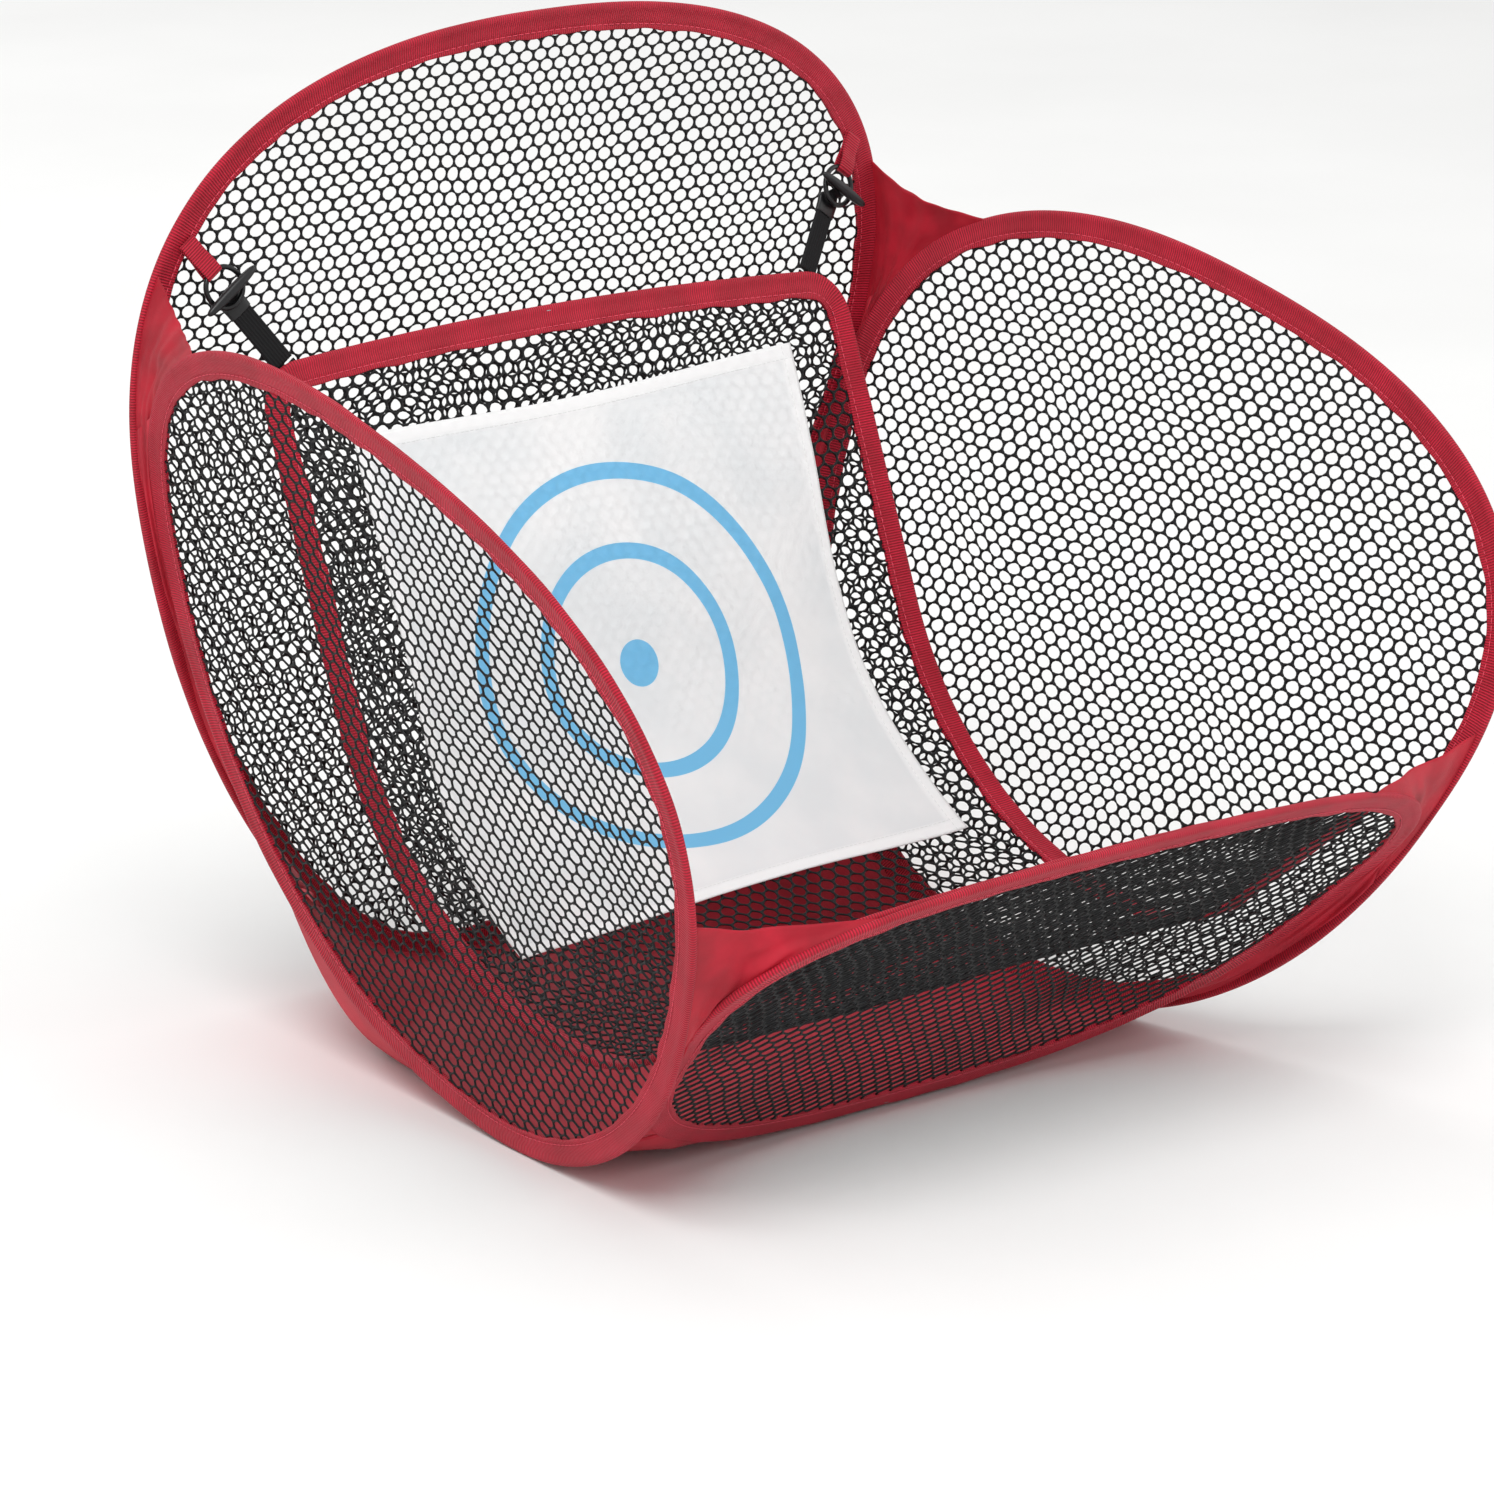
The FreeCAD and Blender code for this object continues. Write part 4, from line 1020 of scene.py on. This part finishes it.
def loft(name, sections, material, side, uv=None):
    """A solid through closed sections of equal count, its two ends closed."""
    sections = np.asarray(sections)
    rows, columns = sections.shape[:2]
    faces = grid_faces(rows, columns, False, True).tolist()
    faces.append(list(range(columns)))
    faces.append(list(range((rows - 1) * columns, rows * columns))[::-1])
    piece = new_piece(name, chain_place(sections.reshape(-1, 3), side), faces, material, uv)
    outward_normals(piece)
    return piece


def ribbon(name, path, half_width, section, material, side):
    """A strap along a path in the plane of its length and thickness.

    section gives, across the strap from one edge to the other, its half thickness; the
    points are the path plus and minus its normal times that, out along the strap's width.
    """
    ahead = unit(np.gradient(path, axis=0))
    normals = np.stack([-ahead[:, 1], ahead[:, 0]], 1)
    w = np.linspace(-1, 1, len(section)) * half_width
    across = np.broadcast_to(w, (len(path), len(section)))
    upper, lower = [
        np.stack([x, across, z], -1)
        for x, z in (
            np.moveaxis(path[:, None] + face * normals[:, None] * section[:, None], -1, 0)
            for face in (1, -1)
        )
    ]
    ring = np.concatenate([upper, lower[:, ::-1]], 1)
    around = np.concatenate([w, w[::-1]])
    uv = np.stack(np.broadcast_arrays(run_of(path)[:, None], around[None]), -1).reshape(-1, 2)
    return loft(name, ring, material, side, uv)


def squircle(half_a, half_b, power=3.0, count=28):
    """Closed superellipse section."""
    t = np.linspace(0, 2 * math.pi, count, endpoint=False)
    c, s = np.cos(t), np.sin(t)
    return np.stack([half_a * np.sign(c) * np.abs(c) ** (2 / power),
                     half_b * np.sign(s) * np.abs(s) ** (2 / power)], 1)


def toggle(side):
    """Moulded T toggle: a tapered bar, a hub that narrows to the strap and a neck.

    The bar's half thickness shrinks towards its round ends. The hub is wide under the bar.
    The lofts overlap and are remeshed into one body, so that their joints are filleted.
    """
    half, deep, thin = 15.0 * MM, 2.25 * MM, 2.0 * MM  # half the bar's length, depth and height
    bar_z = RING_WIRE + 2.9 * MM
    sections = []
    for k in np.sin(np.linspace(-math.pi / 2, math.pi / 2, 31)):
        shrink = (1 - 0.42 * abs(k) ** 2.2) * math.sqrt(max(1 - abs(k) ** 14, 0.02))
        o = squircle(deep * shrink, thin * shrink, 2.4)
        sections.append([(BAR_X + a, k * half, bar_z + b) for a, b in o])
    parts = [loft("bar", sections, ACETAL, side)]
    # along the strap, half width, half thickness and height; the neck stays inside the ring
    stations = [
        (-0.8, 3.5, 1.6, 2.6), (1.0, 3.5, 1.7, 1.2), (1.8, 3.4, 1.6, -0.8), (2.2, 3.6, 1.5, -2.4),
        (3.2, 5.2, 1.5, -3.5), (5.0, 6.0, 1.45, -3.6), (8.0, 5.7, 1.45, -3.5),
        (12.0, 5.6, 1.4, -3.5),
    ]
    sections = []
    for along, wide, thick, z in stations:
        o = squircle(wide * MM, thick * MM, 3.2)
        sections.append([(BAR_X + along * MM, a, z * MM + b) for a, b in o])
    parts.append(loft("hub", sections, ACETAL, side))
    piece = join(f"toggle_{side}_moulding", parts)
    for kind, settings in (
        ("REMESH", {"mode": "VOXEL", "voxel_size": 0.34 * MM}),
        ("SMOOTH", {"factor": 0.6, "iterations": 5}),
    ):
        modifier = piece.modifiers.new(kind.lower(), kind)
        for key, value in settings.items():
            setattr(modifier, key, value)
    apply_modifiers(piece)
    return piece


def apply_modifiers(piece):
    """Makes a piece's modifiers part of its mesh."""
    graph = bpy.context.evaluated_depsgraph_get()
    mesh = bpy.data.meshes.new_from_object(piece.evaluated_get(graph))
    piece.modifiers.clear()
    piece.data = mesh
    mesh.polygons.foreach_set("use_smooth", np.full(len(mesh.polygons), True))


STRAP_END = 64.77 * MM
STRAP_Z = -3.5 * MM
STRAP_HALF = 5.0 * MM  # half the strap's width


def elastic(name, start, end, count, thick, rib, thin, side):
    """Flat elastic strap between two places on the chain, with seven lengthwise ribs.

    Its half thickness in millimetres is a cosine of height rib on thick, less thin at the edges.
    """
    x = np.linspace(start, end, count)
    w = np.linspace(-1, 1, 57)
    section = (thick + rib * np.cos(w * math.pi * 7) - thin * np.abs(w) ** 12) * MM
    path = np.stack([x, np.full_like(x, STRAP_Z)], 1)
    return ribbon(name, path, STRAP_HALF, section, ELASTIC, side)


def tab(side):
    """Webbing tab: one tape that runs from the binding round the ring's wire and back."""
    gap = 0.62 * MM
    reach = RING_WIRE + 0.75 * MM
    start = -2.5 * MM
    t = np.linspace(0, 1, 26)
    leg_x = start + (TAB_LONG - 2.6 * MM - start) * t
    leg_z = gap + (reach - gap) * ease((t - 0.55) / 0.45)
    a = np.linspace(math.radians(118), math.radians(-118), 24)
    bend = np.stack([TAB_LONG + reach * np.cos(a), reach * np.sin(a)], 1)
    front_leg = np.stack([leg_x, leg_z], 1)
    path = soften(np.vstack([front_leg, bend, front_leg[::-1] * np.array([1, -1])]), 6)
    w = np.linspace(-1, 1, 25)
    thick = (0.46 - 0.12 * np.abs(w) ** 10) * MM
    return ribbon(f"tab_{side}_webbing", path, 4.0 * MM, thick, TAPE, side)


for side in ("right", "left"):
    settle(toggle(side), "toggle_" + side, "black_plastic", "toggle_" + side)
    # the strap runs from inside the hub to the panel, and its sewn end lies behind the panel
    shown = elastic(f"strap_{side}_elastic", BAR_X + 9.0 * MM, STRAP_END - 0.6 * MM, 30,
                    0.78, 0.16, 0.25, side)
    settle(shown, "toggle_" + side, "black_elastic", "strap_" + side)
    sewn = elastic(f"strap_tail_{side}_elastic", STRAP_END + 0.8 * MM, STRAP_END + 11.0 * MM, 14,
                   0.42, 0.12, 0.2, side)
    settle(sewn, "target", "black_elastic", "strap_tail_" + side)
    webbing = tab(side)
    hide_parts("tab_" + side)
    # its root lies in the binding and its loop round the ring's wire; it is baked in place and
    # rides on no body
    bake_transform(webbing)
    repaint("o_ring_" + side, RING_PLASTIC)


# ---- studio -------------------------------------------------------------------------------


def studio():
    """Pale floor, a bright even sky, a large soft key and a softer fill."""
    ground = new_piece(
        "studio_floor",
        np.array([(-9, -6, 0), (9, -6, 0), (9, 14, 0), (-9, 14, 0)]),
        [(0, 1, 2, 3)],
        CARD,
    )
    world = bpy.data.worlds.new("studio_sky")
    bpy.context.scene.world = world
    bpy.context.scene.view_settings.view_transform = "Standard"
    world.use_nodes = True
    back = world.node_tree.nodes["Background"]
    back.inputs["Color"].default_value = srgb("#ffffff")
    back.inputs["Strength"].default_value = 0.75
    for name, at, size, power, aim in (
        ("key", (-1.6, -1.4, 2.6), 1.6, 62, (0, 0, 0.15)),
        ("fill", (2.2, -1.8, 1.6), 2.2, 16, (0, 0, 0.2)),
        ("rim", (0.6, 2.4, 2.2), 1.8, 18, (0, 0, 0.2)),
    ):
        lamp = bpy.data.lights.new(name, "AREA")
        lamp.size, lamp.energy = size, power
        spot = bpy.data.objects.new(name, lamp)
        bpy.context.scene.collection.objects.link(spot)
        look(spot, at, aim)


def look(item, at, aim):
    """Places a light or camera and points it at a place."""
    item.location = at
    item.rotation_mode = "QUATERNION"
    item.rotation_quaternion = (Vector(aim) - Vector(at)).to_track_quat("-Z", "Y")


SENSOR = 36.0
FOCAL = 7378 / 1500  # focal length over the frame's long side
CAMERA_AT = (-1.9425, -2.1651, 0.951)
CAMERA_TURN = (-41.53, 15.63, 0.538)  # azimuth, pitch downwards and roll, in degrees


def camera():
    """Camera at the viewing angle: it looks ahead, and its right and up are turned by the roll."""
    a, pitch, roll = (math.radians(v) for v in CAMERA_TURN)
    level = math.cos(pitch)
    ahead = np.array([-math.sin(a) * level, math.cos(a) * level, -math.sin(pitch)])
    flat = np.array([math.cos(a), math.sin(a), 0])
    steep = np.cross(flat, ahead)
    right = flat * math.cos(roll) + steep * math.sin(roll)
    up = steep * math.cos(roll) - flat * math.sin(roll)
    lens = bpy.data.cameras.new("camera")
    item = bpy.data.objects.new("camera", lens)
    bpy.context.scene.collection.objects.link(item)
    turned = Matrix([[right[i], up[i], -ahead[i]] for i in range(3)]).to_4x4()
    turned.translation = CAMERA_AT
    item.matrix_world = turned
    lens.sensor_width = SENSOR
    lens.lens = FOCAL * SENSOR
    lens.clip_start, lens.clip_end = 0.05, 60
    bpy.context.scene.camera = item


studio()
camera()
